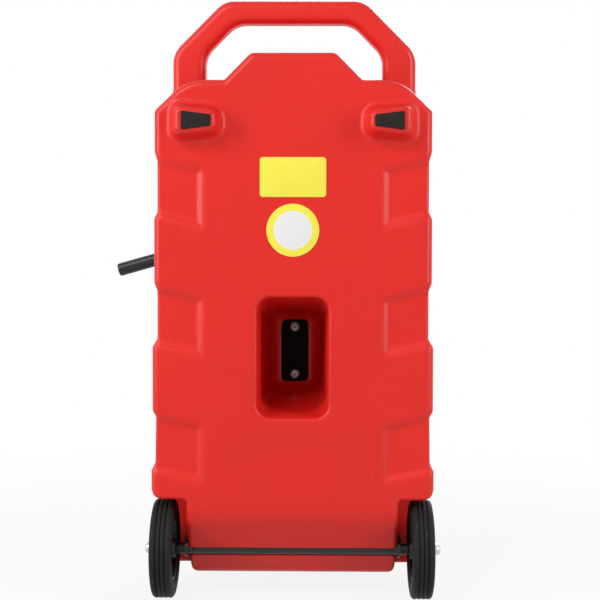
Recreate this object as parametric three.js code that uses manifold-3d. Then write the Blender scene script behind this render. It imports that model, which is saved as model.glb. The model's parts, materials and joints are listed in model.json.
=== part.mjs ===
// Fuel caddy: a moulded tank on two wheels, with a lever pump on its front.
// Millimetres, Z up. The back, with the recess, faces -Y, and +X is on the right when the back is seen.
// The origin is the middle of the front foot's underside, and the floor is Z = 0.
import * as THREE from "three";
import { mergeVertices, toCreasedNormals } from "three/addons/utils/BufferGeometryUtils.js";
import Module from "manifold-3d";

// Clearances and fineness. PAST is how far a cut runs on beyond its face.
const GAP = 0.3;
const PAST = 1;
const WELD = 1e-3;
const AROUND = 24;
const ARC_STEPS = 3;
const arcSteps = (wall) => (wall ? 1 : ARC_STEPS);

// Driving sizes of the tank.
const WALL = 5;
const BACK = -235;
const FRONT = 15;
const EDGE = 7;
const LOW_HALF = 171;
const BASE_HALF = 228;
const BELLY = 34.5;
const FOOT = { half: 150, depth: 30, height: 45, round: 6 };
const CROWN = { z: 885.7, half: 67.8, foot: 110.4, round: 8 };
const SHOULDER = { z: 842.5, half: 171, low: 791, round: 70, lowRound: 14 };

// Wheels and axle. The wheels stand on the floor beside the low centre, with room above and ahead.
const WHEEL = { radius: 80, stand: 21, width: 36.5, rim: 52, above: 11.5, ahead: 15 };
WHEEL.inside = LOW_HALF + WHEEL.stand;
WHEEL.outside = WHEEL.inside + WHEEL.width;
const AXLE = { y: -190, radius: 5, past: 6.5, sleeve: 9, channel: 10, chamfer: 1 };
AXLE.z = WHEEL.radius;
AXLE.half = WHEEL.outside + AXLE.past;
const WIDE_BOTTOM = AXLE.z + WHEEL.radius + WHEEL.above;
const WELL_FRONT = AXLE.y + WHEEL.radius + WHEEL.ahead;
const axleMid = [0, AXLE.y, AXLE.z];

// The low centre: a back that slants in over the axle to the belly, measured from the axle.
const SLANT = { start: 59, back: 11, up: 2.5, toe: 24.5, round: 14 };
const LOW = { lap: 18.5, inset: 2, round: 12, bevel: 10, innerBevel: 6 };
const BASE = { lap: 33.5, lift: 1, round: 25, corner: 10 };

// Side pockets: outer top, outer bottom, inner top and inner bottom heights of each. The tank is
// a little narrower across each pocket than on the lands between them.
const POCKETS = [
  [716, 634.5, 700, 609.7],
  [509.7, 423.3, 488.9, 400.9],
  [303.3, 221.7, 282.5, 193.7],
];
const POCKET = { inner: 144, outer: 212, depth: 7, bevel: 10, round: 5, past: 12 };
const LANDS = [222.4, 224.5, 225.7, BASE_HALF];
const WAISTS = [218, 218.5, 220];
const WAIST = { above: 6, below: 8 };

// The carrying handle, moulded with the tank: room for a hand over the crown, then the bar, then its slopes.
const HANDLE = { back: -160, front: -115, round: 14, sunk: 42.5, outer: 201, inner: 146.5, corner: 25 };
HANDLE.foot = SHOULDER.z - HANDLE.sunk;
const HAND_ROOM = 59.8;
const HANDLE_UNDER = { z: CROWN.z + HAND_ROOM, half: 96, drop: 51.5 };
const HANDLE_BAR = 37.5;
const HANDLE_TOP = { z: HANDLE_UNDER.z + HANDLE_BAR, half: 115.5, drop: 86 };

// The recess in the back, the pump's pocket in the front, and the web between them.
// A rim is written as depths below the face with how much wider the opening is there.
const RECESS = { half: 60, low: 296.7, high: 494.2, round: 16 };
const RECESS_FLOOR = { half: 45, low: 330, high: 462, round: 12, y: -20 };
const RECESS_RIM = [[-PAST, 8], [2.5, 2.5], [8, 0]];
const BAY = { half: 56, low: 236, high: 522, round: 14, y: -12, draft: 2 };
const BAY_RIM = [[-PAST, 5], [3, 1]];

// Rubber pads on the back, which stand level with the tyres when the caddy lies down.
const PAD = { inner: 129, outer: 175.5, innerTall: 9, outerTall: 15, thick: 6, round: 2.5, edge: 1.5 };
PAD.face = AXLE.y - WHEEL.radius;
const PAD_MID = 773.5;
const MOUND = { inner: 112, outer: 196, innerTall: 25, outerTall: 33, round: 12, draft: 11, lip: 4 };
MOUND.proud = BACK - PAD.face - 2;
const LABEL = { thick: 0.8, half: 53, tall: 63.5, z: 686.6, round: 5 };
const DISC_LABEL = { radius: 42.25, z: 602 };

// Bolts: shank and head sizes, and how deep the axle brackets' bolts sit in the tank's bosses.
const BOLT = { radius: 4, flats: 13, head: 5.3, deep: 19, hole: 20.5, boss: 11, bossDeep: 26 };
const boltHole = BOLT.radius + GAP;
const BRACKET = { thick: 5, reach: 82, neck: 22, tall: 18, nose: 12, noseRound: 11.8, sunk: 7.5, proud: 3.2 };
const bracketBoltY = [40, 69].map((ahead) => AXLE.y + ahead);

// Pump.
const PUMP_Y = 35;
const pumpMid = [0, PUMP_Y, 0];
const BARREL = { radius: 32, bore: 28, low: 322.3, high: 480 };
const BAND_Z = [436.7, 352.5];
const CUP = { radius: 38, seat: 4.3, deep: 34, floor: 30, slope: 8, lap: 15.7, edge: 2 };
const THROAT = { radius: 12, tall: 16 };
const INLET_Z = 262;
const SEAT_Z = BARREL.low - CUP.seat;
const THROAT_Z = SEAT_Z - THROAT.tall;
const HEAD = { radius: 38, lap: 14, tall: 39, roof: 11, collar: 10, collarRadius: 16, outlet: 21, edge: 4 };
const HEAD_LOW = BARREL.high - HEAD.lap;
const HEAD_HIGH = HEAD_LOW + HEAD.tall;
const ROD = { radius: 6, low: 341, pin: 626.5, clear: 0.6 };
const PISTON = { low: 350, land: 5, seal: 6, high: 366, radius: 27.6, sealRadius: 27.7, core: 24.5 };
const FULCRUM = { x: 75, z: 647.8 };
const LEVER_TILT = (15.85 * Math.PI) / 180;
const LEVER = { thick: 8, tall: 22, bar: 262, tang: 385, grip: 412, gripRadius: 11.75 };
const PIN = { radius: 4, head: 3, fulcrumHead: 7, rodHead: 6.5 };
const pinHole = PIN.radius + GAP;

// Filler.
const FILLER = { z: 772, neck: 31, bore: 25, end: 33, cap: 40 };
const fillerMid = [0, 0, FILLER.z];

const wasm = await Module();
wasm.setup();
const caddy = new THREE.Group();
caddy.name = "fuel_caddy";

function look(colour, roughness, metalness = 0) {
  return new THREE.MeshStandardMaterial({ color: colour, roughness, metalness });
}
const RED = look(0xeb403c, 0.5);
const BLACK_PLASTIC = look(0x262422, 0.45);
const GLOSS_BLACK = look(0x161514, 0.22);
const RUBBER = look(0x2d2a28, 0.85);
const TYRE_RUBBER = look(0x282826, 0.8);
const BLACK_STEEL = look(0x232120, 0.4, 0.6);
const ZINC = look(0xb9bcbf, 0.35, 0.9);
const YELLOW = look(0xf8f058, 0.45);
const CAST = look(0x3a3b3d, 0.55, 0.4);
const BRASS = look(0xb08d4a, 0.35, 0.9);
const ACETAL = look(0xe6e2d6, 0.5);

// Turns a closed surface into a solid for joining and cutting, with its faces outwards.
function solid(geometry) {
  const open = geometry.index ? geometry.toNonIndexed() : geometry;
  const bare = new THREE.BufferGeometry().setAttribute("position", open.getAttribute("position"));
  const merged = mergeVertices(bare, WELD);
  const at = merged.attributes.position.array;
  const tri = [];
  let volume = 0;
  for (let i = 0; i < merged.index.count; i += 3) {
    const [a, b, c] = merged.index.array.subarray(i, i + 3);
    if (a === b || b === c || c === a) continue;
    tri.push(a, b, c);
    const [p, q, r] = [a, b, c].map((k) => new THREE.Vector3().fromArray(at, 3 * k));
    volume += p.dot(q.cross(r));
  }
  const triVerts = Uint32Array.from(volume < 0 ? tri.reverse() : tri);
  return new wasm.Manifold(new wasm.Mesh({ numProp: 3, vertProperties: at, triVerts }));
}

const join = (...solids) => solids.reduce((a, b) => a.add(b));
const cut = (from, ...tools) => tools.reduce((a, b) => a.subtract(b), from);

// Adds a named mesh to the caddy.
function piece(name, shape, material) {
  const raw = shape.getMesh();
  const at = new Float32Array(raw.numVert * 3);
  for (let i = 0; i < raw.numVert; i++)
    at.set(raw.vertProperties.subarray(i * raw.numProp, i * raw.numProp + 3), i * 3);
  const indexed = new THREE.BufferGeometry()
    .setAttribute("position", new THREE.BufferAttribute(at, 3))
    .setIndex(new THREE.BufferAttribute(raw.triVerts, 1));
  const mesh = new THREE.Mesh(toCreasedNormals(indexed, Math.PI / 5), material);
  mesh.name = name;
  caddy.add(mesh);
}

// Corners [u, v, radius] to a ring of points with the corners rounded.
function rounded(corners, steps = ARC_STEPS) {
  const ring = [];
  corners.forEach(([u, v, r = 0], i) => {
    if (!r) return ring.push([u, v]);
    const before = corners[(i + corners.length - 1) % corners.length];
    const after = corners[(i + 1) % corners.length];
    const a = new THREE.Vector2(before[0] - u, before[1] - v).normalize();
    const b = new THREE.Vector2(after[0] - u, after[1] - v).normalize();
    const half = Math.acos(THREE.MathUtils.clamp(a.dot(b), -1, 1)) / 2;
    const mid = a.clone().add(b).setLength(r / Math.sin(half));
    const centre = new THREE.Vector2(u, v).add(mid);
    const reach = r / Math.tan(half);
    const start = new THREE.Vector2(u, v).addScaledVector(a, reach).sub(centre).angle();
    let turn = new THREE.Vector2(u, v).addScaledVector(b, reach).sub(centre).angle() - start;
    if (turn > Math.PI) turn -= 2 * Math.PI;
    if (turn < -Math.PI) turn += 2 * Math.PI;
    for (let k = 0; k <= steps; k++) {
      const angle = start + (turn * k) / steps;
      ring.push([centre.x + r * Math.cos(angle), centre.y + r * Math.sin(angle)]);
    }
  });
  return ring;
}
const boxRing = (u0, u1, v0, v1, r, steps = ARC_STEPS) =>
  rounded([[u0, v0, r], [u1, v0, r], [u1, v1, r], [u0, v1, r]], steps);

// Puts a shape drawn in its own plane along one axis: u and v become the other two axes in X, Y, Z order.
function place(geometry, axis) {
  if (axis === "y") return geometry.rotateX(Math.PI / 2);
  if (axis === "x")
    return geometry.applyMatrix4(
      new THREE.Matrix4().makeBasis(
        new THREE.Vector3(0, 1, 0),
        new THREE.Vector3(0, 0, 1),
        new THREE.Vector3(1, 0, 0),
      ),
    );
  return geometry;
}

// A flat outline pushed along an axis, with its two end edges rounded.
function prism(ring, axis, from, to, round = 0, steps = 2) {
  const shape = new THREE.Shape(ring.map(([u, v]) => new THREE.Vector2(u, v)));
  const body = new THREE.ExtrudeGeometry(shape, {
    depth: to - from - 2 * round,
    bevelEnabled: round > 0,
    bevelThickness: round,
    bevelSize: round,
    bevelOffset: -round,
    bevelSegments: steps,
  });
  body.translate(0, 0, axis === "y" ? -to + round : from + round);
  return solid(place(body, axis));
}

// A profile of [radius, height] turned about an axis through a centre.
function turned(profile, axis, centre, segments = AROUND) {
  const body = new THREE.LatheGeometry(
    profile.map(([r, h]) => new THREE.Vector2(r, h)),
    segments,
  );
  if (axis === "z") body.rotateX(Math.PI / 2);
  if (axis === "x") body.rotateZ(-Math.PI / 2);
  return solid(body.translate(...centre));
}
const ringProfile = (inner, outer, low, high) => [
  [inner, low],
  [outer, low],
  [outer, high],
  [inner, high],
  [inner, low],
];
const tube = (axis, centre, inner, outer, low, high, segments) =>
  turned(ringProfile(inner, outer, low, high), axis, centre, segments);
const rod = (axis, centre, radius, low, high, segments) =>
  turned([[0, low], [radius, low], [radius, high], [0, high]], axis, centre, segments);
const hex = (axis, centre, flats, low, high) =>
  rod(axis, centre, flats / Math.sqrt(3), low, high, 6);

function box(x0, x1, y0, y1, z0, z1) {
  const body = new THREE.BoxGeometry(x1 - x0, y1 - y0, z1 - z0);
  return solid(body.translate((x0 + x1) / 2, (y0 + y1) / 2, (z0 + z1) / 2));
}

// A closed skin through a stack of rings that have the same number of points.
function loft(rings) {
  const n = rings[0].length;
  const tri = [];
  for (let k = 0; k + 1 < rings.length; k++)
    for (let i = 0; i < n; i++) {
      const a = k * n + i;
      const b = k * n + ((i + 1) % n);
      tri.push(a, b, b + n, a, b + n, a + n);
    }
  const last = (rings.length - 1) * n;
  for (let i = 1; i + 1 < n; i++) tri.push(0, i + 1, i, last, last + i, last + i + 1);
  const body = new THREE.BufferGeometry();
  body.setAttribute("position", new THREE.Float32BufferAttribute(rings.flat(2), 3));
  body.setIndex(tri);
  return solid(body);
}
const onSide = (side, low, high) => (side > 0 ? [low, high] : [-high, -low]);
const atY = (ring, y, side = 1) => ring.map(([u, v]) => [side * u, y, v]);

// A round bar swept along points that all lie in the plane X = 0.
function bar(points, radius, segments = 16) {
  return loft(
    points.map(([y, z], i) => {
      const [py, pz] = points[Math.max(i - 1, 0)];
      const [ny, nz] = points[Math.min(i + 1, points.length - 1)];
      const along = new THREE.Vector2(ny - py, nz - pz).normalize();
      return Array.from({ length: segments }, (_, k) => {
        const a = (2 * Math.PI * k) / segments;
        const off = radius * Math.sin(a);
        return [radius * Math.cos(a), y - along.y * off, z + along.x * off];
      });
    }),
  );
}
// Points of a quarter bend from one angle to another about a centre [y, z].
const bend = ([y, z], radius, fromDeg, toDeg, steps = 5) =>
  Array.from({ length: steps + 1 }, (_, k) => {
    const a = THREE.MathUtils.degToRad(fromDeg + ((toDeg - fromDeg) * k) / steps);
    return [y + radius * Math.cos(a), z + radius * Math.sin(a)];
  });

// The tank's outline from behind, drawn smaller by a wall for the fuel space.
function bodyOutline(wall) {
  const bands = POCKETS.flatMap(([top, low], i) => [
    [LANDS[i], top + WAIST.above],
    [WAISTS[i], top - WAIST.above],
    [WAISTS[i], low + WAIST.below],
    [LANDS[i + 1], low - WAIST.below],
  ]);
  const right = [
    [CROWN.half, CROWN.z - wall, CROWN.round],
    [CROWN.foot, SHOULDER.z - wall, CROWN.round],
    [SHOULDER.half, SHOULDER.z - wall, SHOULDER.round],
    [LANDS[0], SHOULDER.low - wall, SHOULDER.lowRound],
    ...bands,
    [BASE_HALF, WIDE_BOTTOM + wall, BASE.corner],
  ].map(([x, z, r]) => [x - wall, z, r]);
  const left = right.map(([x, z, r]) => [-x, z, r]).reverse();
  return rounded([...right, ...left], arcSteps(wall));
}

// The wide part, the low centre between the wheels, and the base in front of them.
function tankMass(wall) {
  const round = Math.max(EDGE - wall, LOW.inset);
  const steps = wall ? 1 : 2;
  const back = BACK + wall;
  const lowFront = FRONT - LOW.inset - wall;
  const top = WIDE_BOTTOM + LOW.lap;
  const upper = prism(bodyOutline(wall), "y", back, FRONT - wall, round, steps);
  const side = rounded(
    [
      [back, top],
      [back, AXLE.z + SLANT.start + wall / 2, SLANT.round],
      [AXLE.y - SLANT.back + wall, AXLE.z + SLANT.up + wall / 2],
      [AXLE.y + SLANT.toe + wall, BELLY + wall, SLANT.round],
      [lowFront, BELLY + wall, LOW.round],
      [lowFront, top],
    ],
    arcSteps(wall),
  );
  const channel = rod("x", axleMid, AXLE.channel + wall, -LOW_HALF - PAST, LOW_HALF + PAST, AROUND);
  const bevel = wall ? LOW.innerBevel : LOW.bevel;
  const low = cut(prism(side, "x", -LOW_HALF + wall, LOW_HALF - wall, bevel, steps), channel);
  const half = BASE_HALF - wall;
  const bottom = BELLY + BASE.lift + wall;
  const frontRing = boxRing(-half, half, bottom, WIDE_BOTTOM + BASE.lap, BASE.round - wall, arcSteps(wall));
  const front = prism(frontRing, "y", WELL_FRONT + wall, FRONT - wall, round, steps);
  return join(upper, low, front);
}

function pocketRing(side, heights, y, grow, steps) {
  const [outTop, outLow, inTop, inLow] = heights;
  const span = POCKET.outer - POCKET.inner;
  const x = POCKET.inner - grow;
  const past = BASE_HALF + POCKET.past;
  const top = (u) => inTop + grow + ((u - POCKET.inner) * (outTop - inTop)) / span;
  const low = (u) => inLow - grow + ((u - POCKET.inner) * (outLow - inLow)) / span;
  const corners = [
    [x, low(x), POCKET.round],
    [past, low(past)],
    [past, top(past)],
    [x, top(x), POCKET.round],
  ];
  return atY(rounded(corners, steps), y, side);
}
// Pockets on both faces, grown by a wall where they stand in the fuel space.
function sidePockets(wall) {
  const cuts = [];
  const steps = wall ? 1 : 2;
  const { depth, bevel } = POCKET;
  for (const side of [-1, 1])
    for (const heights of POCKETS)
      for (const [face, inward] of [[BACK, 1], [FRONT, -1]])
        cuts.push(
          loft([
            pocketRing(side, heights, face - inward * PAST, wall + (PAST * bevel) / depth, steps),
            pocketRing(side, heights, face + inward * (depth + wall), wall - bevel, steps),
          ]),
        );
  return cuts;
}

const sizedRing = ({ half, low, high, round }, grow, steps) =>
  boxRing(-half - grow, half + grow, low - grow, high + grow, round + grow, steps);
// The recess narrows to its floor, and its rim is rounded.
const recess = (wall) =>
  loft([
    ...RECESS_RIM.map(([deep, grow]) => atY(sizedRing(RECESS, wall + grow, arcSteps(wall)), BACK + deep)),
    atY(sizedRing(RECESS_FLOOR, wall, arcSteps(wall)), RECESS_FLOOR.y + wall),
  ]);
const bay = (wall) =>
  loft([
    ...BAY_RIM.map(([deep, grow]) => atY(sizedRing(BAY, wall + grow, arcSteps(wall)), FRONT - deep)),
    atY(sizedRing(BAY, wall - BAY.draft, arcSteps(wall)), BAY.y - wall),
  ]);

// An outline taller on its outer side, as the pads and the mounds under them are.
const tallerOutside = ({ inner, outer, innerTall, outerTall, round }, grow) =>
  rounded([
    [inner - grow, PAD_MID - innerTall - grow, round],
    [outer + grow, PAD_MID - outerTall - grow, round],
    [outer + grow, PAD_MID + outerTall + grow, round],
    [inner - grow, PAD_MID + innerTall + grow, round],
  ]);
// Mound under a rubber pad, which narrows by its draft.
function mound(side, grow, from, to) {
  const { draft, lip } = MOUND;
  return loft([
    atY(tallerOutside(MOUND, grow), from, side),
    atY(tallerOutside(MOUND, grow - draft + lip / 2), to + lip, side),
    atY(tallerOutside(MOUND, grow - draft - PAST), to, side),
  ]);
}
const PAD_FLOOR = PAD.face + PAD.thick;

function handle() {
  const { outer, inner, foot, corner } = HANDLE;
  const right = [
    [outer, foot],
    [outer, HANDLE_TOP.z - HANDLE_TOP.drop, corner],
    [HANDLE_TOP.half, HANDLE_TOP.z, corner],
  ];
  const opening = [
    [HANDLE_UNDER.half, HANDLE_UNDER.z, corner],
    [inner, HANDLE_UNDER.z - HANDLE_UNDER.drop, corner],
    [inner, foot],
  ];
  const mirrored = (corners) => corners.map(([x, z, r]) => [-x, z, r]).reverse();
  const ring = rounded([...right, ...mirrored(right), ...mirrored(opening), ...opening], 4);
  return prism(ring, "y", HANDLE.back, HANDLE.front, HANDLE.round, 2);
}

// Fillet between the low centre and the wide part above each wheel.
const WELL = { round: 9, lap: 2 };
function wellFillet(side) {
  const r = WELL.round;
  const steps = 4;
  const arc = Array.from({ length: steps + 1 }, (_, k) => {
    const a = Math.PI / 2 + (k * Math.PI) / 2 / steps;
    return [LOW_HALF + r + r * Math.cos(a), WIDE_BOTTOM - r + r * Math.sin(a)];
  });
  const inside = LOW_HALF - WELL.lap;
  const above = WIDE_BOTTOM + WELL.lap;
  const ring = [[inside, WIDE_BOTTOM - r], [inside, above], [LOW_HALF + r, above], ...arc];
  return prism(ring.map(([x, z]) => [side * x, z]), "y", BACK + EDGE, WELL_FRONT + WELL.lap);
}

const INLET_HOLE = 14;
function tankShell() {
  const sides = [-1, 1];
  const boltSpots = sides.flatMap((side) => bracketBoltY.map((y) => [side, y]));
  const boss = ([side, y], radius, depth) =>
    rod("x", [0, y, AXLE.z], radius, ...onSide(side, LOW_HALF - depth, LOW_HALF));
  const foot = prism(
    boxRing(-FOOT.half, FOOT.half, -FOOT.depth / 2, FOOT.depth / 2, FOOT.round),
    "z",
    0,
    FOOT.height,
  );
  const outer = join(
    tankMass(0),
    foot,
    handle(),
    ...sides.map((side) => mound(side, 0, BACK + WELL.lap, BACK - MOUND.proud)),
    ...sides.map(wellFillet),
    rod("y", fillerMid, FILLER.neck, FRONT - PAST, FILLER.end),
  );
  const fuelSpace = cut(
    join(
      tankMass(WALL),
      ...sides.map((side) => mound(side, -WALL, BACK + WALL + PAST, PAD_FLOOR + WALL)),
      rod("y", fillerMid, FILLER.bore, FRONT - WALL - PAST, FILLER.end + PAST),
    ),
    recess(WALL),
    bay(WALL),
    ...sidePockets(WALL),
    ...boltSpots.map((spot) => boss(spot, BOLT.boss, BOLT.bossDeep)),
  );
  const padSeat = (side) =>
    loft([PAD_FLOOR + GAP, PAD.face - PAST].map((y) => atY(tallerOutside(PAD, GAP), y, side)));
  return cut(
    outer,
    fuelSpace,
    recess(0),
    bay(0),
    ...sidePockets(0),
    ...sides.map(padSeat),
    ...boltSpots.map((spot) => boss(spot, boltHole, BOLT.hole)),
    ...BAND_Z.map((z) => rod("y", [0, 0, z], boltHole, RECESS_FLOOR.y - PAST, BAY.y + PAST, 14)),
    rod("y", [0, 0, INLET_Z], INLET_HOLE, BAY.y - WALL - PAST, BAY.y + PAST),
  );
}
piece("tank_shell", tankShell(), RED);

// Pads and the two blank labels on the back.
for (const [side, word] of [[-1, "left"], [1, "right"]]) {
  const pad = loft([
    atY(tallerOutside(PAD, 0), PAD_FLOOR, side),
    atY(tallerOutside(PAD, 0), PAD.face + PAD.edge, side),
    atY(tallerOutside(PAD, -PAD.edge), PAD.face, side),
  ]);
  piece("foot_pad_" + word, pad, RUBBER);
}
const labelFace = BACK - GAP;
piece(
  "label_panel",
  prism(
    boxRing(-LABEL.half, LABEL.half, LABEL.z - LABEL.tall / 2, LABEL.z + LABEL.tall / 2, LABEL.round),
    "y",
    labelFace - LABEL.thick,
    labelFace,
  ),
  YELLOW,
);
piece(
  "label_disc",
  rod("y", [0, 0, DISC_LABEL.z], DISC_LABEL.radius, labelFace - LABEL.thick, labelFace, 40),
  YELLOW,
);

// Filler: a lobed cap with a flat gasket under its top.
const CAP = { lobes: 12, lobe: 1.2, skirt: 3, seat: 2.6, top: 6, clear: 0.8, round: 1.5 };
const CAP_GRIP = { half: 30, thick: 5, tall: 6, round: 4 };
const GASKET = { inset: 0.5, thick: 2 };
function fillerCap() {
  const points = CAP.lobes * 4;
  const ring = Array.from({ length: points }, (_, k) => {
    const a = (2 * Math.PI * k) / points;
    const r = FILLER.cap - CAP.lobe + CAP.lobe * Math.cos(CAP.lobes * a);
    return [r * Math.cos(a), FILLER.z + r * Math.sin(a)];
  });
  const under = FILLER.end + CAP.seat;
  const face = under + CAP.top;
  const body = prism(ring, "y", FRONT + CAP.skirt, face, CAP.round, 1);
  const bore = rod("y", fillerMid, FILLER.neck + CAP.clear, FRONT, under);
  const { half, thick, tall, round } = CAP_GRIP;
  const gripRing = boxRing(-half, half, FILLER.z - thick, FILLER.z + thick, round);
  const grip = prism(gripRing, "y", face - PAST, face + tall, CAP.round, 1);
  return join(cut(body, bore), grip);
}
piece("filler_cap", fillerCap(), BLACK_PLASTIC);
const gasketLow = FILLER.end + GAP;
const gasketRing = [FILLER.bore + GASKET.inset, FILLER.neck - GASKET.inset];
piece("filler_gasket", tube("y", fillerMid, ...gasketRing, gasketLow, gasketLow + GASKET.thick), RUBBER);

// Axle, its tube and brackets, and one wheel on each end. Heights along X are mirrored for the left side.
const axleBore = AXLE.radius + GAP;
const sideProfile = (side, profile) => profile.map(([r, x]) => [r, side * x]);

piece(
  "axle_rod",
  turned(
    [
      [0, -AXLE.half],
      [AXLE.radius - AXLE.chamfer, -AXLE.half],
      [AXLE.radius, -AXLE.half + AXLE.chamfer],
      [AXLE.radius, AXLE.half - AXLE.chamfer],
      [AXLE.radius - AXLE.chamfer, AXLE.half],
      [0, AXLE.half],
    ],
    "x",
    axleMid,
    14,
  ),
  BLACK_STEEL,
);

// The brackets' sleeves start beside the low centre, and the tube lies between them in its channel.
const bracketNear = LOW_HALF + GAP;
const bracketFar = bracketNear + BRACKET.thick;
const sleeveIn = LOW_HALF - BRACKET.sunk;
const sleeveOut = bracketFar + BRACKET.proud;
const tubeHalf = sleeveIn - GAP;
piece("axle_tube", tube("x", axleMid, axleBore, AXLE.sleeve, -tubeHalf, tubeHalf, 20), BLACK_STEEL);

function axleBracket(side) {
  const { tall, nose, noseRound } = BRACKET;
  const neck = AXLE.y + BRACKET.neck;
  const front = AXLE.y + BRACKET.reach;
  const ring = rounded([
    [AXLE.y - nose, AXLE.z - nose, noseRound],
    [neck, AXLE.z - tall, 8],
    [front, AXLE.z - tall, 6],
    [front, AXLE.z + tall, 6],
    [neck, AXLE.z + tall, 8],
    [AXLE.y - nose, AXLE.z + nose, noseRound],
  ]);
  const plate = prism(ring, "x", ...onSide(side, bracketNear, bracketFar));
  const sleeve = rod("x", axleMid, AXLE.sleeve, ...onSide(side, sleeveIn, sleeveOut), AROUND);
  const bolts = bracketBoltY.map((y) =>
    rod("x", [0, y, AXLE.z], boltHole, ...onSide(side, bracketNear - PAST, bracketFar + PAST), 14),
  );
  const bore = rod("x", axleMid, axleBore, ...onSide(side, sleeveIn - PAST, sleeveOut + PAST), 14);
  return cut(join(plate, sleeve), bore, ...bolts);
}

function bracketBolt(side, y) {
  const seat = bracketFar + GAP;
  return join(
    rod("x", [0, y, AXLE.z], BOLT.radius, ...onSide(side, LOW_HALF - BOLT.deep, seat + PAST), 14),
    hex("x", [0, y, AXLE.z], BOLT.flats, ...onSide(side, seat, seat + BOLT.head)),
  );
}

// Solid tyre: rounded shoulders and a tread of ribs with grooves between them.
const TYRE = { lip: 3.5, bead: 6, bulge: 0.6, shoulder: 9, edge: 2.6, edgeIn: 1.8 };
const TREAD = { side: 5, ribs: 4, groove: 2.6, deep: 2.4 };
function tyre(side) {
  const { radius, inside, outside, rim } = WHEEL;
  const bead = rim + GAP;
  // From the bead over one sidewall to the edge of the tread, as radius and distance in from the side.
  const wall = [
    [bead, TYRE.lip],
    [bead + TYRE.bead, TYRE.bulge],
    [radius - TYRE.shoulder, 0],
    [radius - TYRE.edge, TYRE.edgeIn],
  ];
  const profile = wall.map(([r, deep]) => [r, inside + deep]);
  const grooves = TREAD.ribs - 1;
  const span = (outside - inside - 2 * TREAD.side - grooves * TREAD.groove) / TREAD.ribs;
  for (let i = 0; i < TREAD.ribs; i++) {
    const start = inside + TREAD.side + i * (span + TREAD.groove);
    profile.push([radius, start], [radius, start + span]);
    if (i < grooves) profile.push([radius - TREAD.deep, start + span + TREAD.groove / 2]);
  }
  profile.push(...wall.map(([r, deep]) => [r, outside - deep]).reverse(), profile[0]);
  return turned(sideProfile(side, profile), "x", axleMid, 32);
}

// Moulded hub: boss, dished web with windows, and the rim that carries the tyre.
const HUB = { bush: 8, boss: 15, bossFoot: 16.5, rimFoot: 46, rimIn: 47.5, inset: 1 };
const HUB_WEB = { inner: 3.5, rimSide: 1.5, outer: 4.5, bossSide: 2.5 };
const WINDOW = { count: 5, radius: 8.5, out: 31 };
function hub(side) {
  const { inside, outside, rim } = WHEEL;
  const mid = (inside + outside) / 2;
  const bore = HUB.bush + GAP;
  const profile = [
    [bore, inside + GAP],
    [HUB.boss, inside + GAP],
    [HUB.bossFoot, mid - HUB_WEB.inner],
    [HUB.rimFoot, mid - HUB_WEB.rimSide],
    [HUB.rimIn, inside + TYRE.lip],
    [rim, inside + TYRE.lip],
    [rim, outside - TYRE.lip],
    [HUB.rimIn, outside - TYRE.lip],
    [HUB.rimFoot, mid + HUB_WEB.outer],
    [HUB.bossFoot, mid + HUB_WEB.bossSide],
    [HUB.boss, outside - HUB.inset],
    [bore, outside - HUB.inset],
    [bore, inside + GAP],
  ];
  const windows = Array.from({ length: WINDOW.count }, (_, k) => {
    const a = (2 * Math.PI * k) / WINDOW.count;
    const spot = [0, AXLE.y + WINDOW.out * Math.cos(a), AXLE.z + WINDOW.out * Math.sin(a)];
    return rod("x", spot, WINDOW.radius, ...onSide(side, inside, outside), 12);
  });
  return cut(turned(sideProfile(side, profile), "x", axleMid, AROUND), ...windows);
}

// Domed cap nut, whose outside is drawn in shares of its radius and height.
const CAP_NUT = { radius: 10.5, tall: 13 };
const DOME_SHARES = [[1, 0], [1, 0.11], [0.9, 0.18], [0.88, 0.6], [0.76, 0.82], [0.48, 0.95], [0, 1]];
const WASHER = { radius: 12, thick: 1.6 };
const washerLow = WHEEL.outside - HUB.inset + GAP;
const washerHigh = washerLow + WASHER.thick;
function capNut(side) {
  const low = washerHigh + GAP;
  const profile = [
    [axleBore, low],
    ...DOME_SHARES.map(([r, h]) => [CAP_NUT.radius * r, low + CAP_NUT.tall * h]),
    [0, AXLE.half + PAST],
    [axleBore, AXLE.half + PAST],
    [axleBore, low],
  ];
  return turned(sideProfile(side, profile), "x", axleMid, 16);
}

for (const [side, word] of [[-1, "left"], [1, "right"]]) {
  const spacer = onSide(side, sleeveOut + GAP, WHEEL.inside - GAP);
  const bush = onSide(side, WHEEL.inside + GAP, WHEEL.outside - HUB.inset);
  piece("axle_bracket_" + word, axleBracket(side), BLACK_STEEL);
  bracketBoltY.forEach((y, i) => piece(`bracket_bolt_${word}_${i + 1}`, bracketBolt(side, y), BLACK_STEEL));
  piece("axle_spacer_" + word, tube("x", axleMid, axleBore, AXLE.sleeve, ...spacer, 20), BLACK_PLASTIC);
  piece("hub_bush_" + word, tube("x", axleMid, axleBore, HUB.bush, ...bush, 14), ACETAL);
  piece("wheel_hub_" + word, hub(side), BLACK_PLASTIC);
  piece("tyre_" + word, tyre(side), TYRE_RUBBER);
  const washer = onSide(side, washerLow, washerHigh);
  piece("wheel_washer_" + word, tube("x", axleMid, axleBore, WASHER.radius, ...washer, AROUND), ZINC);
  piece("cap_nut_" + word, capNut(side), ZINC);
}

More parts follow.
